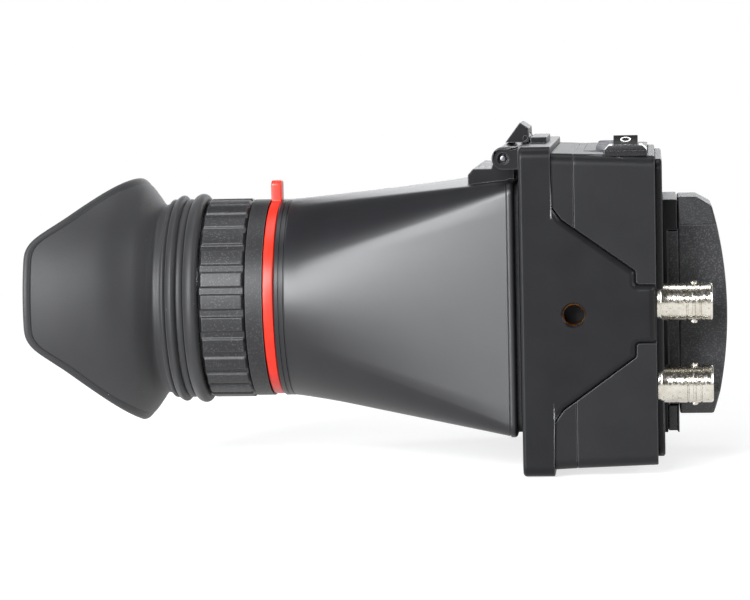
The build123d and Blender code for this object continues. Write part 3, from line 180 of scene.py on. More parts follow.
def near_edge(tree, width):
    """How near a point is to an outer or inner edge, within this many millimetres."""
    soft = add(tree, "ShaderNodeBevel", {"Radius": width * MM}, samples=4)
    true = out(add(tree, "ShaderNodeNewGeometry"), "Normal")
    likeness = out(add(tree, "ShaderNodeVectorMath", soft, true, operation="DOT_PRODUCT"), "Value")
    return add(tree, RANGE, likeness, 1.0, FULL_EDGE_LIKENESS)


def paler(code):
    """Slightly paler shade of an sRGB hex code."""
    parts = [min(int(code[i:i + 2], 16) + CLOUD_STEP, 255) for i in (1, 3, 5)]
    return "#%02x%02x%02x" % tuple(parts)


def grained(shade, pale, gloss, grain, depth, edge=0.3, rub_and_highlight=0.6, specular=0.5, glint=0.0):
    """Moulded or painted surface: an even grain, faint cloudy patches and paler edges.

    Shade and pale are the body's and the edges' colours. The pale edges stand for wear and a
    painted edge highlight together, and the share after the edge's width sets how far they go
    to pale. Gloss is the range of roughness, and grain, depth and edge are sizes in millimetres.
    Glint is the share of the grain's facets coloured paler as painted glints, standing for sparks of light.
    """
    material, tree, shader, place = new_material()
    facets = add(tree, "ShaderNodeTexVoronoi", place, per_mm(grain))
    fine = add(tree, NOISE, place, per_mm(grain * FINE_SHARE), 2.0)
    lumps = add(tree, MATH, out(facets, "Distance"), fine, operation="ADD")
    worked_surface(tree, shader, lumps, gloss, depth, span=LUMP_SPAN)
    # Paler edges: wear together with a painted edge highlight
    wear_and_highlight = add(tree, MATH, near_edge(tree, edge), fine, operation="MULTIPLY")
    wear_and_highlight = add(tree, MATH, wear_and_highlight, 2 * rub_and_highlight, operation="MULTIPLY", use_clamp=True)
    # Painted glints: a share of the facets is coloured paler, standing for sparks of light
    if glint:
        pick = add(tree, "ShaderNodeSeparateColor", out(facets, "Color"))
        bright = add(tree, MATH, out(pick, "Red"), glint, operation="LESS_THAN")
        bright = add(tree, MATH, bright, GLINT_PAINT_SHARE, operation="MULTIPLY")
        wear_and_highlight = add(tree, MATH, wear_and_highlight, bright, operation="MAXIMUM")
    coloured(tree, shader, wear_and_highlight, clouded(tree, place, CLOUD_SIZE, shade, paler(shade)), pale)
    feed(tree, shader, {"Specular IOR Level": specular})
    return material


def metal(shade, dark, gloss, grain, depth, stretch=(1, 1, 1)):
    """Bare or plated metal: a base tint, darker patches and a fine drawn, cast or turned grain."""
    material, tree, shader, place = new_material()
    along = add(tree, "ShaderNodeMapping", {"Vector": place, "Scale": stretch})
    uneven(tree, shader, along, grain, gloss, depth, detail=4.0)
    feed(tree, shader, {"Metallic": 1.0, "Base Color": clouded(tree, place, 3.0, shade, dark)})
    return material


# In the grained materials below, the second colour is the edges' pale colour: wear and a painted edge
# highlight together
def casting_paint():
    """Stoved matt black paint on die-cast aluminium: a fine dry grain, with paler edges for wear and a
    painted edge highlight.
    """
    return grained("#131315", "#98989c", (0.32, 0.44), 0.22, 0.003, edge=0.26, rub_and_highlight=1.0, specular=0.17)


def bush_paint():
    """The same paint on the flat faces of the threaded bushes, with no paler edges: no wear and no painted
    highlight.
    """
    return grained("#131315", "#131315", (0.32, 0.44), 0.22, 0.003, rub_and_highlight=0.0, specular=0.17)


def moulded_casing():
    """ABS moulded against a spark-eroded tool: an even matt grain, a little softer than paint."""
    return grained("#121214", "#88888c", (0.36, 0.5), 0.3, 0.006, edge=0.26, rub_and_highlight=0.9, specular=0.25)


def satin_moulding():
    """ABS moulded against a blasted tool: nearly smooth, so wide soft highlights show on it."""
    return grained("#101013", "#3a3a3e", (0.34, 0.42), 0.18, 0.0015, edge=0.4, rub_and_highlight=0.3)


def barrel_moulding():
    """ABS with a coarse spark grain and painted glints on some facets, so the band between the rings glitters
    slightly.
    """
    return grained("#111113", "#77777b", (0.4, 0.54), 0.26, 0.004, rub_and_highlight=0.3, glint=0.12)


def battery_moulding():
    """ABS with the coarsest spark grain on the object: some facets are painted paler as glints of light, and
    the edges paler for wear and a painted edge highlight.
    """
    return grained("#1b1b1d", "#9a9a9e", (0.36, 0.52), 0.27, 0.006, edge=0.4, rub_and_highlight=0.4, glint=0.22)


def grip_rubber():
    """Moulded rubber with a spark grain: dull, with painted glints, and paler pad edges for wear and a
    painted edge highlight.
    """
    return grained("#141416", "#909095", (0.36, 0.5), 0.26, 0.004, rub_and_highlight=0.9, glint=0.1)


def cell_black():
    """Black anodised and matt: keeps stray light out of the eyepiece."""
    return grained("#0f0f11", "#3a3a3d", (0.5, 0.62), 0.2, 0.003)


def switch_nylon():
    """Glossy black nylon: smooth, with small sharp highlights."""
    return grained("#0e0e10", "#4a4a4d", (0.2, 0.3), 0.25, 0.0015, edge=0.2)


def button_silicone():
    """Grey silicone rubber: a soft sheen and a fine powdery surface."""
    return grained("#606063", "#88888a", (0.5, 0.62), 0.2, 0.003)


def sponge_rubber():
    """Closed-cell sponge: open pits at its cut faces and no shine."""
    return grained("#101012", "#232325", (0.8, 0.95), 0.5, 0.09, rub_and_highlight=0.3)


def cup_silicone():
    """Moulded silicone of the eyecup: dull and smooth, with white dust that clings to it."""
    material, tree, shader, place = new_material()
    # Specks about 0.15 mm across, a few to the square centimetre
    specks = add(tree, "ShaderNodeTexVoronoi", place, per_mm(2.6))
    near = add(tree, RANGE, out(specks, "Distance"), 0.05, 0.02)
    pick = add(tree, "ShaderNodeSeparateColor", out(specks, "Color"))
    chosen = add(tree, MATH, out(pick, "Red"), 0.72, operation="GREATER_THAN")
    dust = add(tree, MATH, near, chosen, operation="MULTIPLY")
    uneven(tree, shader, place, 0.3, (0.5, 0.62), 0.004)
    coloured(tree, shader, dust, clouded(tree, place, 14.0, "#1d1d1f", "#232325"), "#a9a9a8")
    feed(tree, shader, {"Sheen Weight": 0.12, "Sheen Roughness": 0.5})
    return material


def red_coating():
    """Bright red-orange coat on aluminium: clean and satin, with paler edges for wear and a painted edge
    highlight.
    """
    material, tree, shader, place = new_material()
    # Paler edges: wear together with a painted edge highlight
    edge_wear_and_highlight = add(tree, MATH, near_edge(tree, 0.4), 0.5, operation="MULTIPLY")
    uneven(tree, shader, place, 0.25, (0.32, 0.42), 0.003)
    coloured(tree, shader, edge_wear_and_highlight, clouded(tree, place, 3.0, "#e0230f", "#ec2e17"), "#ff7a66")
    return material


def cast_nickel():
    """Nickel plate over a tumbled brass body: warm silver with a pitted, sparkling grain."""
    material, tree, shader, place = new_material()
    pits = add(tree, NOISE, place, per_mm(0.7), 5.0, 0.6)
    worked_surface(tree, shader, pits, (0.12, 0.32), 0.04, span=(0.35, 0.65))
    deep = add(tree, RANGE, pits, 0.42, 0.34)
    coloured(tree, shader, deep, clouded(tree, place, 3.0, "#d8d4cb", "#c4beb1"), "#a29c8c")
    feed(tree, shader, {"Metallic": 1.0})
    return material


def turned_brass():
    """Turned brass of the threads: golden brown, darker where cutting oil has dried."""
    return metal("#b98a4a", "#6d4a20", (0.2, 0.4), 0.2, 0.006)


def gold_plate():
    """Gold flash on contacts: smooth and bright."""
    return metal("#e6c069", "#c99f4b", (0.14, 0.26), 0.2, 0.002)


def plain_steel():
    """Ground steel of the pins and springs: grey, with fine marks along its length."""
    return metal("#77787b", "#5c5d5f", (0.25, 0.4), 0.15, 0.004, stretch=(1, 0.25, 1))


def blackened_steel():
    """Black oxide on steel screws: dark, oily and slightly shiny."""
    return metal("#3b3b3e", "#2a2a2c", (0.28, 0.42), 0.2, 0.004)


def contact_ptfe():
    """Turned white fluoroplastic: waxy, with a soft even sheen."""
    return grained("#e4e3dd", "#f0efea", (0.35, 0.45), 0.3, 0.002, edge=0.2)


def optical_glass():
    """Coated optical glass: clear, with a faint coloured sheen from its coating."""
    material, tree, shader, place = new_material()
    uneven(tree, shader, place, 4.0, (0.0, 0.015), 0.0, detail=2.0)
    feed(tree, shader, {
        "Base Color": clouded(tree, place, 12.0, "#f2f8f6", "#fbfdfc"),
        "Transmission Weight": 1.0,
        "IOR": 1.52,
        "Thin Film Thickness": 380.0,
        "Thin Film IOR": 1.38,
    })
    return material


def window_glass():
    """Hard-coated clear acrylic with a black border printed round the picture."""
    material, tree, shader, place = new_material()
    half_width, half_height = 36.2, 25.6
    spot = add(tree, "ShaderNodeSeparateXYZ", place)
    level = add(tree, MATH, out(spot, "Z"), AXIS_Z * MM, operation="SUBTRACT")
    within = []
    for distance, half in ((out(spot, "Y"), half_width), (level, half_height)):
        away = add(tree, MATH, distance, operation="ABSOLUTE")
        within.append(add(tree, MATH, away, half * MM, operation="LESS_THAN"))
    picture = add(tree, MATH, *within, operation="MULTIPLY")
    uneven(tree, shader, place, 3.0, (0.01, 0.05), 0.0, detail=2.0)
    coloured(tree, shader, picture, "#060607", "#f4f7f8")
    feed(tree, shader, {"Transmission Weight": picture, "IOR": 1.49})
    return material


def side_and_height(tree, place):
    """A place's side and height as flat coordinates, for patterns on faces across the axis."""
    spot = add(tree, "ShaderNodeSeparateXYZ", place)
    return add(tree, "ShaderNodeCombineXYZ", out(spot, "Y"), out(spot, "Z")), spot


def display_face():
    """Switched-off colour display: near black, with a fine grid of picture cells."""
    material, tree, shader, place = new_material()
    flat, _ = side_and_height(tree, place)
    # The real pitch is 0.1 mm; drawn at 0.4 mm, where it just shows
    grid = add(tree, "ShaderNodeTexBrick", {"Vector": flat, "Scale": per_mm(0.8)}, offset=0.0)
    uneven(tree, shader, place, 6.0, (0.1, 0.16), 0.0, detail=2.0)
    coloured(tree, shader, out(grid, "Fac"), "#0b0c10", "#050506")
    return material


def light_guide():
    """White moulded tray of the backlight: clean, with a soft sheen."""
    return grained("#c9cac8", "#dcdcda", (0.4, 0.5), 0.4, 0.003)


def circuit_laminate():
    """Glass-epoxy board under green solder mask, copper tracks beneath and black chips on it."""
    material, tree, shader, place = new_material()
    flat, spot = side_and_height(tree, place)
    # Tracks 0.6 mm wide, stepped like routed copper
    cells = add(tree, "ShaderNodeTexVoronoi", flat, per_mm(2.4), distance="MANHATTAN")
    lines = add(tree, RANGE, out(cells, "Distance"), 0.42, 0.5)
    worked_surface(tree, shader, lines, (0.42, 0.3), 0.03, span=(0.0, 1.0))
    mask = add(tree, MIX, lines, "#0c3a20", "#1b6a3c", data_type="RGBA")
    chip_height = 1.2
    chip_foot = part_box("main_board")[0].x + chip_height * MM
    chip = add(tree, MATH, out(spot, "X"), chip_foot, operation="LESS_THAN")
    coloured(tree, shader, chip, mask, "#141416")
    return material


def ribbon_polyimide():
    """Amber polyimide ribbon with parallel copper tracks under it."""
    material, tree, shader, place = new_material()
    tracks = {"Vector": place, "Scale": per_mm(1.0), "Distortion": 0.0}
    tracks = out(add(tree, "ShaderNodeTexWave", tracks, bands_direction="Y"), "Fac")
    worked_surface(tree, shader, tracks, (0.36, 0.24), 0.01, span=(0.0, 1.0))
    coloured(tree, shader, tracks, "#8c4a0e", "#c67a28")
    return material


def cell_wrap():
    """Shrunk blue film round the battery cells: thin, glossy and slightly wrinkled."""
    material, tree, shader, place = new_material()
    uneven(tree, shader, place, 5.0, (0.18, 0.3), 0.1, detail=5.0)
    feed(tree, shader, {"Base Color": clouded(tree, place, 5.0, "#1c3f86", "#2b59b0")})
    return material


def mark_white():
    """White filled marks on the rocker: slightly chalky."""
    return grained("#e6e5e0", "#f2f1ed", (0.5, 0.6), 0.2, 0.003, edge=0.1)


# CAD nodes, by the material each is made of
finishes = {
    moulded_casing: ["front_shell", "rear_shell", "rear_cover", "control_panel", "battery_plate"],
    casting_paint: ["front_frame", "hinge_arm", "release_lever", "lever_bracket"],
    battery_moulding: ["battery_case", "battery_base"],
    satin_moulding: ["loupe_cone"],
    barrel_moulding: ["barrel_tube", "focus_ring"],
    grip_rubber: ["focus_grip"],
    cell_black: ["lens_cell", "lens_spacer", "lens_retainer"],
    cup_silicone: ["eyecup"],
    switch_nylon: ["power_switch_body", "power_rocker", "battery_release", "tact_switches", "eyecup_ring"],
    button_silicone: ["button_menu", "button_down", "button_up", "button_source"],
    sponge_rubber: ["loupe_seal", "window_gasket"],
    red_coating: ["lock_ring"],
    cast_nickel: ["sdi_in_body", "sdi_out_body", "sdi_nuts"],
    turned_brass: ["thread_inserts"],
    gold_plate: ["sdi_in_contact", "sdi_out_contact", "battery_contacts"],
    contact_ptfe: ["sdi_in_insulator", "sdi_out_insulator"],
    plain_steel: ["hinge_pins", "lever_spring", "release_spring", "guide_pins", "board_screws"],
    blackened_steel: ["lever_pin", "frame_screws", "cover_screws", "plate_screws", "arm_screws"],
    optical_glass: ["eye_lens", "field_lens"],
    window_glass: ["display_window"],
    display_face: ["lcd_panel"],
    light_guide: ["backlight"],
    circuit_laminate: ["main_board", "button_board"],
    ribbon_polyimide: ["display_flex"],
    cell_wrap: ["battery_cells"],
}
made_of = {}
for recipe, names in finishes.items():
    made_of |= dict.fromkeys(names, made(recipe))
for name, material in made_of.items():
    nodes[name].data.materials.clear()
    nodes[name].data.materials.append(material)


# Making pieces

SAME_POINT = 0.001  # points nearer than this are one
FLAT_ANGLE = 0.6  # degrees of turn below which neighbouring faces are one flat
EDGE_ANGLE = 36  # degrees of turn above which an edge is rounded


def shown(name, data):
    """New object in the scene."""
    item = bpy.data.objects.new(name, data)
    bpy.context.collection.objects.link(item)
    return item


def settle(name, mesh, node, angle=35):
    """Finished piece that rides on a node's body, smooth where faces turn by less than an angle."""
    if not mesh.materials:
        mesh.materials.append(made_of[node])
    mesh.shade_smooth()
    mesh.set_sharp_from_angle(angle=math.radians(angle))
    item = shown(name, mesh)
    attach(item, body_of[node])
    return item


def stand_in(name, mesh, node, angle):
    """Finished piece that takes a CAD node's place."""
    item = settle(name, mesh, node, angle)
    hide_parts(node)
    return item


def worked_mesh(item):
    """Plain mesh of an object with its modifiers worked in; the object goes."""
    bpy.context.view_layer.update()
    graph = bpy.context.evaluated_depsgraph_get()
    mesh = bpy.data.meshes.new_from_object(item.evaluated_get(graph))
    bpy.data.objects.remove(item)
    return mesh


def hold_in(mesh, form, width):
    """Draw points that an edge's rounding threw off a form back onto its surface."""
    faces = [tuple(face.vertices) for face in form.polygons]
    surface = BVHTree.FromPolygons([v.co for v in form.vertices], faces)
    for vertex in mesh.vertices:
        place, _, _, distance = surface.find_nearest(vertex.co)
        if distance > width / 2:
            vertex.co = place


def rounded(node, width):
    """Stand-in for a CAD node with the same form and its outer and inner edges rounded."""
    shape = bmesh.new()
    shape.from_mesh(nodes[node].data)
    bmesh.ops.remove_doubles(shape, verts=shape.verts, dist=SAME_POINT * MM)
    flat = math.radians(FLAT_ANGLE)
    bmesh.ops.dissolve_limit(shape, angle_limit=flat, verts=shape.verts, edges=shape.edges)
    mesh = bpy.data.meshes.new(node + "_form")
    shape.to_mesh(mesh)
    shape.free()
    mesh.shade_smooth()
    mesh.materials.append(made_of[node])
    draft = shown(node + "_draft", mesh)
    bevel = draft.modifiers.new("edges", "BEVEL")
    bevel.width = width * MM
    bevel.segments = 2
    bevel.limit_method = "ANGLE"
    bevel.angle_limit = math.radians(EDGE_ANGLE)
    bevel.use_clamp_overlap = False
    bevel.miter_outer = "MITER_ARC"
    weighted = draft.modifiers.new("normals", "WEIGHTED_NORMAL")
    weighted.keep_sharp = True
    mesh = worked_mesh(draft)
    hold_in(mesh, nodes[node].data, width * MM)
    item = shown(node + "_formed", mesh)
    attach(item, body_of[node])
    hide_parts(node)


def solid_mesh(name, vertices, faces):
    """Mesh of a closed form with its faces outwards."""
    mesh = bpy.data.meshes.new(name)
    mesh.from_pydata(vertices, [], faces)
    shape = bmesh.new()
    shape.from_mesh(mesh)
    bmesh.ops.recalc_face_normals(shape, faces=shape.faces)
    shape.to_mesh(mesh)
    shape.free()
    return mesh


def columns_mesh(columns):
    """Vertices and faces of a tube closed both ways, from equal columns of points."""
    count = len(columns[0])
    vertices = [Vector(point) * MM for column in columns for point in column]
    faces = []
    for i in range(len(columns)):
        j = (i + 1) % len(columns)
        for k in range(count):
            n = (k + 1) % count
            faces.append((i * count + k, i * count + n, j * count + n, j * count + k))
    return vertices, faces


def joined(forms):
    """Vertices and faces of several forms as one."""
    vertices, faces = [], []
    for points, quads in forms:
        start = len(vertices)
        vertices += points
        faces += [tuple(start + n for n in quad) for quad in quads]
    return vertices, faces


def turned(points, angle, y=0.0, z=AXIS_Z):
    """(x, radius) points, turned by an angle about a line along X from its near side upwards."""
    return [(x, y - r * math.cos(angle), z + r * math.sin(angle)) for x, r in points]


def lathe(points, steps, y=0.0, z=AXIS_Z):
    """Closed ring about a line along X from (x, radius) points, as vertices and faces."""
    return columns_mesh([turned(points, math.tau * i / steps, y, z) for i in range(steps)])


# CAD nodes whose edges are rounded, by the width of the rounding
edge_widths = {
    0.15: ["control_panel", "release_lever", "lever_bracket"],
    0.2: ["front_shell", "rear_cover", "hinge_arm", "power_switch_body", "battery_release"],
    0.25: ["rear_shell", "battery_plate", "power_rocker"],
    0.28: ["front_frame"],
    0.3: ["button_menu", "button_down", "button_up", "button_source"],
    0.35: ["hinge_pins"],
    0.4: ["lock_ring"],
    0.5: ["battery_case"],
}
for width, names in edge_widths.items():
    for name in names:
        rounded(name, width)


# Eyecup

CUP_X = EYE_X - 85.4  # back edge of the eyecup
CUP_TURN = 7.3  # turned up about the optical axis at rest
CUP_STEPS = 288
CUP_WALL = 1.6
CUP_RIM = 18.7  # low rim from the back edge
CUP_RIM_HALF = 32.4  # half height of the wing's edges at the rim
CUP_TIP = 43.9  # wing's tip from the back edge
CUP_TIP_HALF = 12.5
CUP_TIP_CORNER = 5.0
CUP_TIP_DROP = 3.6  # how far the tip's corners fall
BELLOWS_END = 12.0
BELLOWS_ROWS = 96
WING_ROWS = 40
BEAD_WIDTH = 2.3  # rolled edge
BEAD_RISE = 0.3
LIP_ROUND = 0.6
LIP_TURNS = (55, 25, 0, -25, -55, -80)
LIP_SWELL = 0.1  # lip thicker than the wall, on each side
INNER_SETBACK = 1.4  # inner wall's start from the edge
INNER_END = 12.5
EASE_WINDOW = 7
MOST_SLANT = 2.2  # limit to stretching the rolled edge where it runs aslant

# Bellows and flare, as distance from the back edge and outer radius
cup_outline = [
    (0.0, 27.0), (0.5, 27.8), (1.5, 28.15), (2.6, 27.8), (3.4, 27.0), (3.7, 26.2), (3.9, 26.5), (4.7, 26.75),
    (5.4, 26.6), (5.6, 26.2), (5.9, 27.0), (6.6, 27.75), (7.5, 27.5), (8.15, 26.9), (8.4, 26.2), (8.6, 26.5),
    (9.2, 26.75), (9.7, 26.4), (9.95, 25.7), (10.4, 25.6), (11.8, 25.35), (12.8, 26.2), (14.2, 28.2),
    (16.2, 30.8), (18.7, 32.7), (22.0, 34.4), (26.0, 35.5), (34.0, 36.6), (43.9, 37.2),
]

# Throat inside the bellows, in the same measures
cup_throat = [
    (11.8, 23.9), (10.4, 24.3), (8.5, 24.5), (6.8, 25.4), (5.4, 25.2), (3.1, 25.2), (3.1, 26.25),
    (0.0, 26.25),
]

# Groove and swell of the rolled edge, as shares of its width and its rise
bead_profile = [(0.05, -1.0), (0.12, -0.6), (0.2, 0.0), (0.32, 0.6), (0.5, 1.0), (0.68, 0.9), (0.84, 0.45)]


def cup_radius(place):
    """Outer radius at a distance from the back edge, on a smooth curve through the outline."""
    last = len(cup_outline) - 1
    i = next((k for k in range(last) if place <= cup_outline[k + 1][0]), last - 1)
    (x0, r0), (x1, r1) = cup_outline[i:i + 2]
    (before_x, before_r), (after_x, after_r) = cup_outline[max(i - 1, 0)], cup_outline[min(i + 2, last)]
    slope0 = (r1 - before_r) / (x1 - before_x)
    slope1 = (after_r - r0) / (after_x - x0)
    t = min(max((place - x0) / (x1 - x0), 0.0), 1.0)
    bow = t * (1 - t) * ((1 - t) * slope0 - t * slope1)
    return r0 + (r1 - r0) * t ** 2 * (3 - 2 * t) + (x1 - x0) * bow


def wing_half(place):
    """Half height of the wing at a distance from the back edge, with its corners rounded."""
    straight = CUP_TIP - CUP_TIP_CORNER
    share = min((place - CUP_RIM) / (straight - CUP_RIM), 1.0)
    half = CUP_RIM_HALF + (CUP_TIP_HALF + CUP_TIP_DROP - CUP_RIM_HALF) * share
    turn = max(place - straight, 0.0) / CUP_TIP_CORNER
    return half - CUP_TIP_DROP * (1 - math.sqrt(max(1 - turn ** 2, 0.0)))


def wing_reach(angle):
    """Distance from the back edge to the eyecup's edge, at an angle from the near side."""
    if math.cos(angle) <= 0:
        return CUP_RIM
    low, high = CUP_RIM, CUP_TIP
    for _ in range(30):
        middle = (low + high) / 2
        if cup_radius(middle) * abs(math.sin(angle)) < wing_half(middle):
            low = middle
        else:
            high = middle
    return low


def wing_edges():
    """Edge distance all round, eased where the wing meets the low rim."""
    raw = [wing_reach(math.tau * i / CUP_STEPS) for i in range(CUP_STEPS)]
    weights = {k: EASE_WINDOW + 1 - abs(k) for k in range(-EASE_WINDOW, EASE_WINDOW + 1)}
    total = sum(weights.values())
    return [sum(raw[(i + k) % CUP_STEPS] * w for k, w in weights.items()) / total for i in range(CUP_STEPS)]


def cup_column(edge, slant):
    """Section of the eyecup at one angle, as (distance, radius) from the back edge out and back inside."""
    bead = BEAD_WIDTH * slant
    wing = edge - bead - BELLOWS_END
    rows = [BELLOWS_END * i / BELLOWS_ROWS for i in range(BELLOWS_ROWS)]
    rows += [BELLOWS_END + wing * i / WING_ROWS for i in range(WING_ROWS + 1)]
    points = [(d, cup_radius(d)) for d in rows]
    for share, lift in bead_profile:
        d = edge - bead * (1 - share)
        points.append((d, cup_radius(d) + BEAD_RISE * lift))
    middle = cup_radius(edge) - CUP_WALL / 2
    for turn in LIP_TURNS:
        t = math.radians(turn)
        lip = edge - LIP_ROUND * slant * (1 - math.cos(t))
        points.append((lip, middle + (CUP_WALL / 2 + LIP_SWELL) * math.sin(t)))
    start = edge - INNER_SETBACK * slant
    for i in range(WING_ROWS):
        d = start + (INNER_END - start) * i / (WING_ROWS - 1)
        points.append((d, cup_radius(d) - CUP_WALL))
    return points + cup_throat


def eyecup():
    """Soft cup of bellows, a flare with a low rim and one tall wing with a rolled edge."""
    edges = wing_edges()
    columns = []
    for i, edge in enumerate(edges):
        run = 2 * math.tau / CUP_STEPS * cup_radius(edge)
        slope = (edges[(i + 1) % CUP_STEPS] - edges[i - 1]) / run
        section = cup_column(edge, min(math.hypot(1, slope), MOST_SLANT))
        angle = math.tau * i / CUP_STEPS + math.radians(CUP_TURN)
        columns.append(turned([(CUP_X - d, r) for d, r in section], angle))
    stand_in("eyecup_soft", solid_mesh("eyecup_soft", *columns_mesh(columns)), "eyecup", 50)


eyecup()


# Focus grip

GRIP_COUNT = 28
GRIP_START = EYE_X - 84.9
GRIP_END = EYE_X - 72.9
GRIP_INNER = 25.2
GRIP_FLOOR = 26.1
GRIP_EDGE = 0.3
GRIP_STEP = 0.16  # longest piece of its outline
GRIP_SKIN = 0.05  # only points this near the outside are lifted
PAD_STEPS = 32  # columns to each pad and the gap beside it
PAD_LENGTH = 10.8
PAD_WIDTH = 3.7
PAD_RISE = 0.6
PAD_FIRST = 2.3  # lowest pad's middle above the near side, in degrees
PAD_FLANK = (-0.12, 0.28)  # where a pad's soft flank starts and ends, past its nominal edge


def divided(points, step):
    """Outline with its long runs cut into short ones."""
    fine = []
    for (x0, r0), (x1, r1) in zip(points, points[1:]):
        parts = max(1, round(math.hypot(x1 - x0, r1 - r0) / step))
        fine += [(x0 + (x1 - x0) * i / parts, r0 + (r1 - r0) * i / parts) for i in range(parts)]
    return fine + [points[-1]]


def tree_with(name, sizes):
    """Geometry tree with a named input for each size, and its group input node."""
    tree = bpy.data.node_groups.new(name, "GeometryNodeTree")
    tree.interface.new_socket("Geometry", in_out="INPUT", socket_type="NodeSocketGeometry")
    for label, value in sizes.items():
        kind = "NodeSocketInt" if isinstance(value, int) else "NodeSocketFloat"
        tree.interface.new_socket(label, in_out="INPUT", socket_type=kind)
    tree.interface.new_socket("Geometry", in_out="OUTPUT", socket_type="NodeSocketGeometry")
    return tree, add(tree, "NodeGroupInput")


def finish_tree(tree, geometry, material):
    """Last nodes of a tree: real geometry with its material."""
    real = add(tree, "GeometryNodeRealizeInstances", geometry)
    coated = add(tree, "GeometryNodeSetMaterial", {"Geometry": real, "Material": material})
    add(tree, "NodeGroupOutput", {"Geometry": coated})


def grown(tree, mesh, sizes):
    """Plain mesh that a tree makes from a base mesh and its sizes."""
    draft = shown(tree.name, mesh)
    modifier = draft.modifiers.new(tree.name, "NODES")
    modifier.node_group = tree
    for item in tree.interface.items_tree:
        if item.name in sizes:
            modifier[item.identifier] = sizes[item.name]
    return worked_mesh(draft)


def pad_tree(sizes):
    """Tree that lifts evenly spaced pads with soft edges out of a sleeve."""
    tree, given = tree_with("grip_pads", sizes)
    spot = add(tree, "ShaderNodeSeparateXYZ", add(tree, "GeometryNodeInputPosition"))
    level = add(tree, MATH, out(spot, "Z"), out(given, "Axis height"), operation="SUBTRACT")
    near = add(tree, MATH, out(spot, "Y"), -1.0, operation="MULTIPLY")
    angle = add(tree, MATH, level, near, operation="ARCTAN2")
    angle = add(tree, MATH, angle, out(given, "First angle"), operation="SUBTRACT")
    steps = add(tree, MATH, angle, out(given, "Step angle"), operation="DIVIDE")
    whole = add(tree, MATH, steps, operation="ROUND")
    part = add(tree, MATH, steps, whole, operation="SUBTRACT")
    across = add(tree, MATH, part, out(given, "Pitch"), operation="MULTIPLY")
    along = add(tree, MATH, out(spot, "X"), out(given, "Middle"), operation="SUBTRACT")
    flat = add(tree, "ShaderNodeCombineXYZ", {"Y": out(spot, "Y"), "Z": level})
    radius = out(add(tree, "ShaderNodeVectorMath", flat, operation="LENGTH"), "Value")
    mask = add(tree, MATH, radius, out(given, "Skin radius"), operation="GREATER_THAN")
    for distance, half in ((across, "Half width"), (along, "Half length")):
        away = add(tree, MATH, distance, operation="ABSOLUTE")
        past = add(tree, MATH, away, out(given, half), operation="SUBTRACT")
        flank = [past, PAD_FLANK[0] * MM, PAD_FLANK[1] * MM, 1.0, 0.0]
        flank = add(tree, RANGE, *flank, interpolation_type="SMOOTHSTEP")
        mask = add(tree, MATH, mask, flank, operation="MULTIPLY")
    rise = add(tree, MATH, mask, out(given, "Rise"), operation="MULTIPLY")
    way = add(tree, "ShaderNodeVectorMath", flat, operation="NORMALIZE")
    lift = add(tree, "ShaderNodeVectorMath", way, rise, operation="SCALE")
    moved = add(tree, "GeometryNodeSetPosition", {"Geometry": out(given, "Geometry"), "Offset": lift})
    finish_tree(tree, moved, made_of["focus_grip"])
    return tree


def focus_grip():
    """Rubber sleeve with a ring of raised pads."""
    run = [
        (GRIP_START, GRIP_INNER), (GRIP_START, GRIP_FLOOR - GRIP_EDGE), (GRIP_START + GRIP_EDGE, GRIP_FLOOR),
        (GRIP_END - GRIP_EDGE, GRIP_FLOOR), (GRIP_END, GRIP_FLOOR - GRIP_EDGE), (GRIP_END, GRIP_INNER),
    ]
    mesh = solid_mesh("focus_grip_sleeve", *lathe(divided(run, GRIP_STEP), GRIP_COUNT * PAD_STEPS))
    step = math.tau / GRIP_COUNT
    sizes = {
        "First angle": math.radians(PAD_FIRST),
        "Step angle": step,
        "Pitch": step * GRIP_FLOOR * MM,
        "Axis height": AXIS_Z * MM,
        "Skin radius": (GRIP_FLOOR - GRIP_SKIN) * MM,
        "Middle": (GRIP_START + GRIP_END) / 2 * MM,
        "Half width": PAD_WIDTH / 2 * MM,
        "Half length": PAD_LENGTH / 2 * MM,
        "Rise": PAD_RISE * MM,
    }
    stand_in("focus_grip_pads", grown(pad_tree(sizes), mesh, sizes), "focus_grip", 60)


focus_grip()


# Cone of the loupe

CONE_START = EYE_X - 65.2
CONE_ROUND_X = EYE_X - 62.0
CONE_SQUARE_X = EYE_X - 3.2
CONE_END = EYE_X - 1.4
CONE_RADIUS = 26.4
CONE_EDGE = 0.3
CONE_HALF = 39.3
CONE_BOTTOM = 9.8
CONE_TOP = 75.1
CONE_CORNER = 3.5
CONE_LEAST_CORNER = 0.8
CONE_FLAT_ANGLE = 20.0  # half of the round end's arc that becomes a flat side
CONE_WALL = 2.2
CONE_BORE = 24.35
CONE_INNER_X = EYE_X - 60.0
CONE_ROWS = 48
RIM_ROOM = 0.25  # left before the square end for the rim's step
BORE_STEP = 0.05  # inner cone under the bore's radius
BORE_SHIFT = 0.02
BORE_END = 0.1  # bore runs on past the inner cone
CONE_COLUMNS = 14  # in each flat side and in each corner
COLLAR_GROOVES = (EYE_X - 63.8, EYE_X - 62.5)

# Groove's section, as distance from its middle and depth
groove_section = [(-0.22, 0.0), (-0.1, 0.22), (0.1, 0.22), (0.22, 0.0)]

# Rim, as distance from the square end and inset, with a fine step before it and a rounded end
cone_rim = [
    (-0.2, 0.2), (-0.05, 0.2), (0.05, -0.15), (0.2, -0.25), (1.0, -0.25), (1.3, -0.17), (1.55, 0.0),
    (1.72, 0.22), (1.8, 0.5), (1.8, CONE_WALL),
]


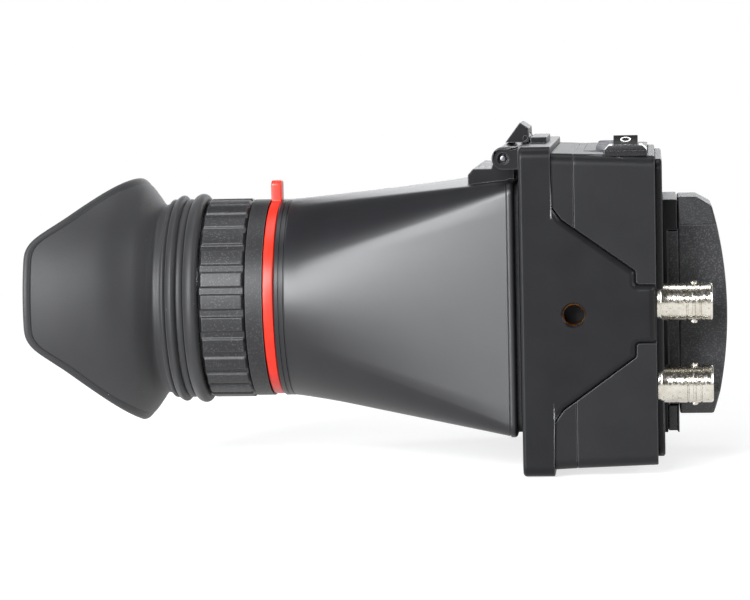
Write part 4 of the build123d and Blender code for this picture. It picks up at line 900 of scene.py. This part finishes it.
def square_point(quarter, share, in_corner, inset):
    """Side and height of a place on the square end's outline, drawn in by a distance."""
    turn = math.pi / 2 * quarter
    ahead = Vector((math.cos(turn), math.sin(turn)))
    aside = Vector((-math.sin(turn), math.cos(turn)))
    tall = (CONE_TOP - CONE_BOTTOM) / 2 - inset
    wide = CONE_HALF - inset
    reach, span = (wide, tall) if quarter % 2 == 0 else (tall, wide)
    corner = max(CONE_CORNER - inset, CONE_LEAST_CORNER)
    if in_corner:
        bend = math.pi / 2 * share
        place = ahead * (reach - corner) + aside * (span - corner)
        place = place + (ahead * math.cos(bend) + aside * math.sin(bend)) * corner
    else:
        place = ahead * reach + aside * (span - corner) * (2 * share - 1)
    return place + Vector((0.0, (CONE_TOP + CONE_BOTTOM) / 2))


def round_point(quarter, share, in_corner, radius):
    """Side and height of the matching place on the round end."""
    half = CONE_FLAT_ANGLE
    start, span = (half, 90 - 2 * half) if in_corner else (-half, 2 * half)
    angle = math.radians(90 * quarter + start + span * share)
    return Vector((radius * math.cos(angle), AXIS_Z + radius * math.sin(angle)))


def cone_column(quarter, share, in_corner):
    """Section of the cone through one place of its outline, out along it and back inside."""
    points = []

    def put(x, radius=CONE_RADIUS, squareness=0.0, inset=0.0):
        first = round_point(quarter, share, in_corner, radius)
        last = square_point(quarter, share, in_corner, inset)
        points.append((x, *first.lerp(last, squareness)))

    put(CONE_START, radius=CONE_BORE)
    put(CONE_START, radius=CONE_RADIUS - CONE_EDGE)
    put(CONE_START + CONE_EDGE)
    for groove in COLLAR_GROOVES:
        for x, depth in groove_section:
            put(groove + x, radius=CONE_RADIUS - depth)
    length = CONE_SQUARE_X - CONE_ROUND_X
    for i in range(1, CONE_ROWS + 1):
        x = (length - RIM_ROOM) * i / CONE_ROWS
        put(CONE_ROUND_X + x, squareness=x / length)
    for x, inset in cone_rim:
        put(CONE_SQUARE_X + x, squareness=1.0, inset=inset)
    for i in range(CONE_ROWS, -1, -1):
        t = i / CONE_ROWS
        x = CONE_INNER_X + (CONE_END - CONE_INNER_X) * t
        put(x - BORE_SHIFT, radius=CONE_BORE - BORE_STEP, squareness=t, inset=CONE_WALL)
    put(CONE_INNER_X - BORE_END, radius=CONE_BORE)
    return points


def loupe_cone():
    """Hollow cone, round at the collar and square at the rim."""
    runs = [(quarter, in_corner) for quarter in range(4) for in_corner in (False, True)]
    steps = range(CONE_COLUMNS)
    columns = [cone_column(side, i / CONE_COLUMNS, in_corner) for side, in_corner in runs for i in steps]
    mesh = solid_mesh("cone_moulding", *columns_mesh(columns))
    stand_in("cone_moulding", mesh, "loupe_cone", 40)


loupe_cone()


# Tripod threads

BUSH_RADIUS = 4.0
BUSH_LENGTH = 6.5
LIP_RADIUS = 4.32  # thin lip over the rounded edge of its hole
LIP_THICK = 0.03
THREAD_MINOR = 2.6
THREAD_MAJOR = 3.17
THREAD_PITCH = 1.27
THREAD_MOUTH = 3.25
FLANK_SLOPE = 2.4  # how steeply the ridge falls along a turn
ROOT_FLAT = 0.1
THREAD_STEPS = 72  # round the bore
THREAD_ROWS = 12  # to each turn


def threaded_bush(mouth, inward, bevelled):
    """Bush whose bore is a right-hand thread: vertices and faces, and which faces are painted."""
    mouth, inward = Vector(mouth), Vector(inward)
    across = inward.orthogonal().normalized()
    aside = inward.cross(across)
    rows = round(BUSH_LENGTH / THREAD_PITCH * THREAD_ROWS)
    columns = []
    for i in range(THREAD_STEPS):
        angle = math.tau * i / THREAD_STEPS
        way = across * math.cos(angle) + aside * math.sin(angle)
        section = []
        for k in range(rows + 1):
            depth = BUSH_LENGTH * k / rows
            phase = (depth / THREAD_PITCH - i / THREAD_STEPS) % 1.0
            # Flat crests and roots with straight flanks between them
            height = min(max(FLANK_SLOPE * abs(phase - 0.5) - ROOT_FLAT, 0.0), 1.0)
            radius = THREAD_MAJOR - (THREAD_MAJOR - THREAD_MINOR) * height
            section.append((depth, max(radius, THREAD_MOUTH - depth) if bevelled else radius))
        section += [(BUSH_LENGTH, BUSH_RADIUS), (LIP_THICK, BUSH_RADIUS), (LIP_THICK, LIP_RADIUS)]
        section.append((0.0, LIP_RADIUS - LIP_THICK))
        columns.append([mouth + inward * depth + way * radius for depth, radius in section])
    bevel_rows = (THREAD_MOUTH - THREAD_MINOR) * rows / BUSH_LENGTH if bevelled else 0
    painted = [k < bevel_rows or k >= rows for column in columns for k in range(len(column))]
    return columns_mesh(columns), painted


def thread_bushes():
    """Bushes in the foot and both side ears: brass threads with painted faces."""
    bushes = [threaded_bush((0, 0, 0), (0, 0, 1), False)]
    bushes += [threaded_bush((0, -side * HALF_WIDTH, EAR_Z), (0, side, 0), True) for side in (1, -1)]
    mesh = solid_mesh("threaded_bushes", *joined(form for form, _ in bushes))
    mesh.materials.append(made_of["thread_inserts"])
    mesh.materials.append(made(bush_paint))
    painted = [covered for _, covers in bushes for covered in covers]
    for face, covered in zip(mesh.polygons, painted):
        face.material_index = int(covered)
    stand_in("threaded_bushes", mesh, "thread_inserts", 30)


thread_bushes()


# Video sockets

SOCKET_SEAT = EYE_X + 34.3
SOCKET_MOUTH = EYE_X + 48.5
SOCKET_Y = -33.0
SOCKETS = {"sdi_in_body": 43.6, "sdi_out_body": 22.6}
SOCKET_RADIUS = 4.825
SOCKET_STEP = 1.5  # longest piece of its outline
SOCKET_SIDES = 96
LUG_X = SOCKET_MOUTH - 4.8
LUG_RADIUS = 0.95
LUG_REACH = 5.5
LUG_ROOT = 0.6  # sunk in the barrel
LUG_SIDES = 24

# Socket's section as distance from its seat and radius
socket_outline = [
    (-6.8, 2.6), (-6.8, 4.45), (-6.5, 4.7), (0.0, 4.7), (0.0, 5.95), (0.15, 6.1), (0.85, 6.1),
    (1.0, 5.95), (1.0, 5.1), (1.25, 4.9), (1.5, 4.825), (7.5, 4.825), (7.62, 4.62), (7.88, 4.62),
    (8.0, 4.825), (9.0, 4.825), (9.1, 4.68), (9.7, 4.68), (9.8, 4.825), (10.9, 4.825), (11.02, 4.62),
    (11.28, 4.62), (11.4, 4.825), (13.75, 4.825), (14.1, 4.6), (14.2, 4.4), (14.2, 4.25), (14.0, 4.05),
    (5.2, 4.05), (5.2, 2.6),
]

# Lug's dome, as shares of its height and its radius
lug_outline = [(0.0, 1.0), (0.72, 1.0), (0.92, 0.8), (1.0, 0.4)]


def lug(z, side):
    """Vertices and faces of a domed stud on a socket's barrel."""
    start = SOCKET_RADIUS - LUG_ROOT
    vertices = []
    for share, narrowing in lug_outline:
        height = z + side * (start + (LUG_REACH - start) * share)
        for i in range(LUG_SIDES):
            angle = math.tau * i / LUG_SIDES
            aside = Vector((math.cos(angle), math.sin(angle), 0.0)) * LUG_RADIUS * narrowing
            vertices.append((Vector((LUG_X, SOCKET_Y, height)) + aside) * MM)
    top = len(vertices) - LUG_SIDES
    faces = [tuple(range(LUG_SIDES)), tuple(range(top, top + LUG_SIDES))]
    for low in range(0, top, LUG_SIDES):
        for i in range(LUG_SIDES):
            n = (i + 1) % LUG_SIDES
            faces.append((low + i, low + n, low + LUG_SIDES + n, low + LUG_SIDES + i))
    return vertices, faces


def video_socket(node, z):
    """Bayonet socket with its flange, turned grooves, bored mouth and two lugs."""
    points = [(SOCKET_SEAT + d, r) for d, r in socket_outline]
    barrel = lathe(divided(points, SOCKET_STEP), SOCKET_SIDES, SOCKET_Y, z)
    mesh = solid_mesh(node, *joined([barrel, lug(z, -1), lug(z, 1)]))
    stand_in(node.replace("body", "shell"), mesh, node, 28)


for node, z in SOCKETS.items():
    video_socket(node, z)


# Marks on the rocker

ROCKER_PIVOT = (EYE_X + 27.0, -32.5, 83.0)
ROCKER_TILT = 12.0
ROCKER_SLOPE = math.atan2(1.2, 5.2)  # rise of each half over its length
ROCKER_DIP = 1.0
MARK_PLACE = 2.7  # marks' middles from the rocker's middle
MARK_RISE = 0.03
MARK_STEPS = 40
RING_OUTER = 1.35
RING_INNER = 0.95
BAR_HALF_WIDTH = 0.24
BAR_HALF_LENGTH = 1.1
BAR_CORE = (0.04, 0.9)  # inner outline as shares of the bar's
BAR_SQUARENESS = 0.2  # power that flattens the bar's ends


def mark_place(along, flip):
    """Frame of a mark on the rocker's near or far half, at a distance from its middle."""
    place = Matrix.Translation(Vector(ROCKER_PIVOT)) @ Matrix.Rotation(math.radians(ROCKER_TILT), 4, "X")
    rise = ROCKER_DIP + abs(along) * math.tan(ROCKER_SLOPE)
    place = place @ Matrix.Translation((0, along, rise))
    return place @ Matrix.Rotation(flip * ROCKER_SLOPE, 4, "X")


def outline_mark(place, outer, inner):
    """Vertices and faces of a flat raised mark between two matching outlines."""
    columns = []
    for (x0, y0), (x1, y1) in zip(outer, inner):
        section = [(x0, y0, -MARK_RISE), (x0, y0, MARK_RISE), (x1, y1, MARK_RISE), (x1, y1, -MARK_RISE)]
        columns.append([place @ Vector(point) for point in section])
    return columns_mesh(columns)


def rocker_marks():
    """Ring and bar, filled white, on the two halves of the rocker."""
    turns = [math.tau * i / MARK_STEPS for i in range(MARK_STEPS)]
    ring, hole = [[(r * math.cos(a), r * math.sin(a)) for a in turns] for r in (RING_OUTER, RING_INNER)]
    heights = [math.copysign(abs(math.sin(a)) ** BAR_SQUARENESS, math.sin(a)) for a in turns]
    bar = [(BAR_HALF_WIDTH * math.cos(a), BAR_HALF_LENGTH * height) for a, height in zip(turns, heights)]
    core = [(x * BAR_CORE[0], y * BAR_CORE[1]) for x, y in bar]
    first = outline_mark(mark_place(MARK_PLACE, 1), ring, hole)
    second = outline_mark(mark_place(-MARK_PLACE, -1), bar, core)
    mesh = solid_mesh("rocker_marks", *joined([first, second]))
    mesh.materials.append(made(mark_white))
    settle("rocker_marks", mesh, "power_rocker")


rocker_marks()


# Screws

KEY_LIFT = 1.15  # middle of the key's cutter, in depths of the head
SHANK_DROP = -0.499  # middle of the shank, in its lengths: it starts just inside the head
THREAD_DROP = -0.99  # thread's run, in lengths of the shank
MOST_SPIN = 1.05  # a sixth of a turn, in radians
SCREW_SEED = 7


def wound(tree, turns, radius, height, wire, steps, sides):
    """Wire wound evenly about Z, with closed ends."""
    path = {
        "Resolution": steps,
        "Rotations": turns,
        "Start Radius": radius,
        "End Radius": radius,
        "Height": height,
    }
    path = add(tree, "GeometryNodeCurveSpiral", path)
    ring = {"Resolution": sides, "Radius": wire}
    ring = out(add(tree, "GeometryNodeCurvePrimitiveCircle", ring), "Curve")
    return add(tree, "GeometryNodeCurveToMesh", {"Curve": path, "Profile Curve": ring, "Fill Caps": True})


def screw_tree(name, sizes, material):
    """Tree that puts a hexagon-socket screw on each point, turned at random about its length."""
    tree, given = tree_with(name, sizes)
    head = {
        "Vertices": 40,
        "Radius Top": out(given, "Head radius"),
        "Radius Bottom": out(given, "Under radius"),
        "Depth": out(given, "Head depth"),
    }
    head = out(add(tree, "GeometryNodeMeshCone", head), "Mesh")
    across = {"Vertices": 6, "Radius": out(given, "Key radius"), "Depth": out(given, "Head depth")}
    key = out(add(tree, "GeometryNodeMeshCylinder", across), "Mesh")
    key_height = add(tree, MATH, out(given, "Head depth"), KEY_LIFT, operation="MULTIPLY")
    key_place = add(tree, "ShaderNodeCombineXYZ", {"Z": key_height})
    key = add(tree, "GeometryNodeTransform", {"Geometry": key, "Translation": key_place})
    cut = out(add(tree, "GeometryNodeMeshBoolean", head, key, operation="DIFFERENCE"), "Mesh")
    shank = {"Vertices": 24, "Radius": out(given, "Shank radius"), "Depth": out(given, "Length")}
    shank = out(add(tree, "GeometryNodeMeshCylinder", shank), "Mesh")
    half = add(tree, MATH, out(given, "Length"), SHANK_DROP, operation="MULTIPLY")
    below = add(tree, "ShaderNodeCombineXYZ", {"Z": half})
    shank = add(tree, "GeometryNodeTransform", {"Geometry": shank, "Translation": below})
    turns = add(tree, MATH, out(given, "Length"), out(given, "Pitch"), operation="DIVIDE")
    run = add(tree, MATH, out(given, "Length"), THREAD_DROP, operation="MULTIPLY")
    ridge = wound(tree, turns, out(given, "Shank radius"), run, out(given, "Ridge"), steps=14, sides=3)
    whole = add(tree, "GeometryNodeJoinGeometry")
    for part in (cut, usable(shank.outputs, 0), usable(ridge.outputs, 0)):
        tree.links.new(part, whole.inputs[0])
    way = {"X": out(given, "Way X"), "Y": out(given, "Way Y"), "Z": out(given, "Way Z")}
    way = add(tree, "ShaderNodeCombineXYZ", way)
    aim = add(tree, "FunctionNodeAlignRotationToVector", {"Vector": way}, axis="Z")
    spots = {"Points": out(given, "Geometry"), "Instance": whole, "Rotation": aim}
    placed = add(tree, "GeometryNodeInstanceOnPoints", spots)
    spin = {"Max": MOST_SPIN, "Seed": out(given, "Seed")}
    spin = add(tree, "FunctionNodeRandomValue", spin, data_type="FLOAT")
    spin = add(tree, "ShaderNodeCombineXYZ", {"Z": spin})
    placed = add(tree, "GeometryNodeRotateInstances", {"Instances": placed, "Rotation": spin})
    finish_tree(tree, placed, material)
    return tree


def screws(node, places, way, changes):
    """Set of like screws that stands for a node, given what differs from the small flat head."""
    base = bpy.data.meshes.new(node + "_places")
    base.from_pydata([Vector(place) * MM for place in places], [], [])
    sizes = {label: value * MM for label, value in (flat_head | changes).items()}
    sizes |= {"Way X": way[0], "Way Y": way[1], "Way Z": way[2], "Seed": SCREW_SEED}
    mesh = grown(screw_tree(node + "_tree", sizes, made_of[node]), base, sizes)
    stand_in(node.replace("screws", "bolts"), mesh, node, 30)


def both_sides(x, side, heights):
    """Places on both sides at each height, with x from the eye-side face."""
    return [(EYE_X + x, y, z) for y in (-side, side) for z in heights]


flat_head = {
    "Head radius": 1.9, "Under radius": 1.0, "Head depth": 0.9, "Key radius": 0.75,
    "Shank radius": 0.9, "Length": 3.7, "Pitch": 0.45, "Ridge": 0.1,
}
frame_head = {
    "Head radius": 2.2, "Under radius": 2.2, "Head depth": 1.65, "Key radius": 1.3,
    "Shank radius": 1.1, "Length": 17.9, "Pitch": 0.5, "Ridge": 0.14,
}
board_head = {"Head radius": 1.7, "Under radius": 1.85, "Length": 3.8}
cover_places = [(EYE_X + 35.2, -34, z) for z in (9, 33.1, 75.5)]
cover_places += [(EYE_X + 35.2, 34, z) for z in (9, 42, 75.5)]
back, front, up = (1.0, 0.0, 0.0), (-1.0, 0.0, 0.0), (0.0, 0.0, 1.0)

screws("frame_screws", both_sides(1.8, 35, (7, 77)), front, frame_head)
screws("cover_screws", cover_places, back, {})
screws("plate_screws", both_sides(36.2, 12, (24, 55)), back, {"Length": 3.9})
screws("arm_screws", both_sides(-9.6, 14, (77.2,)), up, {"Length": 4.2})
screws("board_screws", both_sides(24.2, 30, (12, 58.5)), front, board_head)


# Springs


def coil_tree(sizes, material):
    """Tree that winds a wire into a coil along Z."""
    tree, given = tree_with("wire_coil", sizes)
    measures = [out(given, label) for label in ("Turns", "Radius", "Height", "Wire")]
    finish_tree(tree, wound(tree, *measures, steps=20, sides=10), material)
    return tree


def spring(node, foot, along, sizes):
    """Coil of wire that stands for a spring node."""
    base = bpy.data.meshes.new(node + "_base")
    scaled = {label: value if label == "Turns" else value * MM for label, value in sizes.items()}
    mesh = grown(coil_tree(scaled, made_of[node]), base, scaled)
    turn = Vector(along).to_track_quat("Z", "Y").to_matrix().to_4x4()
    mesh.transform(Matrix.Translation(Vector(foot) * MM) @ turn)
    return stand_in(node.replace("spring", "coil"), mesh, node, 60)


catch_sizes = {"Radius": 0.65, "Height": 2.7, "Turns": 5.0, "Wire": 0.13}
catch_coil = spring("release_spring", (EYE_X + 38.25, -10.0, 9.55), (0, 0, 1), catch_sizes)
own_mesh(catch_coil)
lever_sizes = {"Radius": 0.74, "Height": 1.8, "Turns": 4.5, "Wire": 0.19}
spring("lever_spring", (EYE_X + 0.6, 4.3, 85.3), (0, 1, 0), lever_sizes)


# Floor, light and camera, in metres

FLOOR_HALF = 6.0
FLOOR_DROP = 0.0002  # below the foot
FLOOR_LIFT = 0.72  # glow that makes the floor white to the camera
FLOOR_FADE = (0.22, 0.6)  # where the floor runs into the white backdrop
ROOM_LIGHT = 0.09
BACKDROP_START = (-0.1, 0.6)  # directions' Y where it begins and is full
BACKDROP_TOP = (0.7, 0.15)  # directions' Z where it has gone and is full
BODY = Vector((-0.05, 0.0, 0.045))  # middle of the object
LAMP_TINT = (0.965, 0.98, 1.0)
CAMERA_AIM = Vector((-0.0544, 0.0, 0.0422))
CAMERA_DISTANCE = 0.78


def floor():
    """Pale floor that is white to the camera and keeps the object's shadow."""
    material, tree, shader, place = new_material()
    material.name = "studio_floor"
    uneven(tree, shader, place, 3.0, (0.85, 0.95), 0.0, detail=2.0)
    feed(tree, shader, {
        "Base Color": clouded(tree, place, 400.0, "#a8a8a8", "#aeaeae"),
        "Specular IOR Level": 0.1,
    })
    path = add(tree, "ShaderNodeLightPath")
    seen = add(tree, MATH, out(path, "Is Camera Ray"), out(path, "Is Glossy Ray"), operation="MAXIMUM")
    lift = add(tree, MATH, seen, FLOOR_LIFT, operation="MULTIPLY")
    glow = add(tree, "ShaderNodeEmission", "#ffffff", lift)
    both = add(tree, "ShaderNodeAddShader", shader, glow)
    reach = out(add(tree, "ShaderNodeVectorMath", place, operation="LENGTH"), "Value")
    faded = add(tree, MATH, add(tree, RANGE, reach, *FLOOR_FADE), seen, operation="MULTIPLY")
    white = add(tree, "ShaderNodeEmission", "#ffffff", 1.0)
    output = next(n for n in tree.nodes if n.type == "OUTPUT_MATERIAL")
    feed(tree, output, {"Surface": add(tree, "ShaderNodeMixShader", faded, both, white)})
    mesh = bpy.data.meshes.new("studio_floor")
    corners = [(x * FLOOR_HALF, y * FLOOR_HALF, -FLOOR_DROP) for x, y in ((-1, -1), (1, -1), (1, 1), (-1, 1))]
    mesh.from_pydata(corners, [], [(0, 1, 2, 3)])
    mesh.materials.append(material)
    shown("studio_floor", mesh)


def surroundings():
    """White backdrop, seen directly, through glass and in gloss, in a room that lights gently.

    In gloss it is white behind the object only: the room above and in front of it is dim.
    """
    world = bpy.data.worlds.new("studio_room")
    bpy.context.scene.world = world
    world.use_nodes = True
    tree = world.node_tree
    tree.nodes.clear()
    path = add(tree, "ShaderNodeLightPath")
    seen = add(tree, MATH, out(path, "Is Camera Ray"), out(path, "Is Transmission Ray"), operation="MAXIMUM")
    way = add(tree, "ShaderNodeSeparateXYZ", out(add(tree, "ShaderNodeTexCoord"), "Generated"))
    behind = add(tree, RANGE, out(way, "Y"), *BACKDROP_START)
    low = add(tree, RANGE, out(way, "Z"), *BACKDROP_TOP)
    backdrop = add(tree, MATH, behind, low, operation="MULTIPLY")
    glossy = add(tree, MATH, backdrop, out(path, "Is Glossy Ray"), operation="MULTIPLY")
    visible = add(tree, MATH, seen, glossy, operation="MAXIMUM")
    strength = add(tree, RANGE, visible, 0.0, 1.0, ROOM_LIGHT, 1.0)
    light = add(tree, "ShaderNodeBackground", "#ffffff", strength)
    add(tree, "ShaderNodeOutputWorld", {"Surface": light})


def lamp(name, place, width, height, power):
    """Soft rectangular lamp, aimed at the object."""
    data = bpy.data.lights.new(name, "AREA")
    data.shape = "RECTANGLE"
    data.size = width
    data.size_y = height
    data.energy = power
    data.color = LAMP_TINT
    item = shown(name, data)
    item.location = place
    item.rotation_euler = (BODY - Vector(place)).to_track_quat("-Z", "Y").to_euler()


def camera():
    """Camera at the photograph's viewing angle, level turned a little."""
    data = bpy.data.cameras.new("camera")
    data.sensor_width = 36.0
    data.lens = 139.2
    data.clip_end = 20.0
    item = shown("camera", data)
    turn, lift, roll = math.radians(5.5), math.radians(5.0), math.radians(1.25)
    back = Vector((math.sin(turn) * math.cos(lift), -math.cos(turn) * math.cos(lift), math.sin(lift)))
    right = Vector((math.cos(turn), math.sin(turn), 0.0))
    level = Matrix.Rotation(-roll, 3, back)
    axes = Matrix((level @ right, level @ back.cross(right), back)).transposed()
    item.matrix_world = Matrix.Translation(CAMERA_AIM + back * CAMERA_DISTANCE) @ axes.to_4x4()
    bpy.context.scene.camera = item


floor()
surroundings()
lamp("key_softbox", (-0.75, -1.1, 0.36), 0.55, 0.7, 32.0)
lamp("front_softbox", (-0.35, -1.5, 0.85), 0.6, 0.3, 15.0)
lamp("top_softbox", (-0.15, 0.1, 1.2), 0.9, 0.4, 4.0)
lamp("eyecup_side_softbox", (-1.6, -0.3, 0.4), 0.5, 0.7, 5.0)
lamp("battery_side_softbox", (1.2, -0.3, 0.5), 0.5, 0.7, 9.0)
lamp("backdrop_softbox", (-0.1, 1.7, 0.42), 1.8, 0.6, 8.0)
camera()
bpy.context.scene.view_settings.view_transform = "Standard"
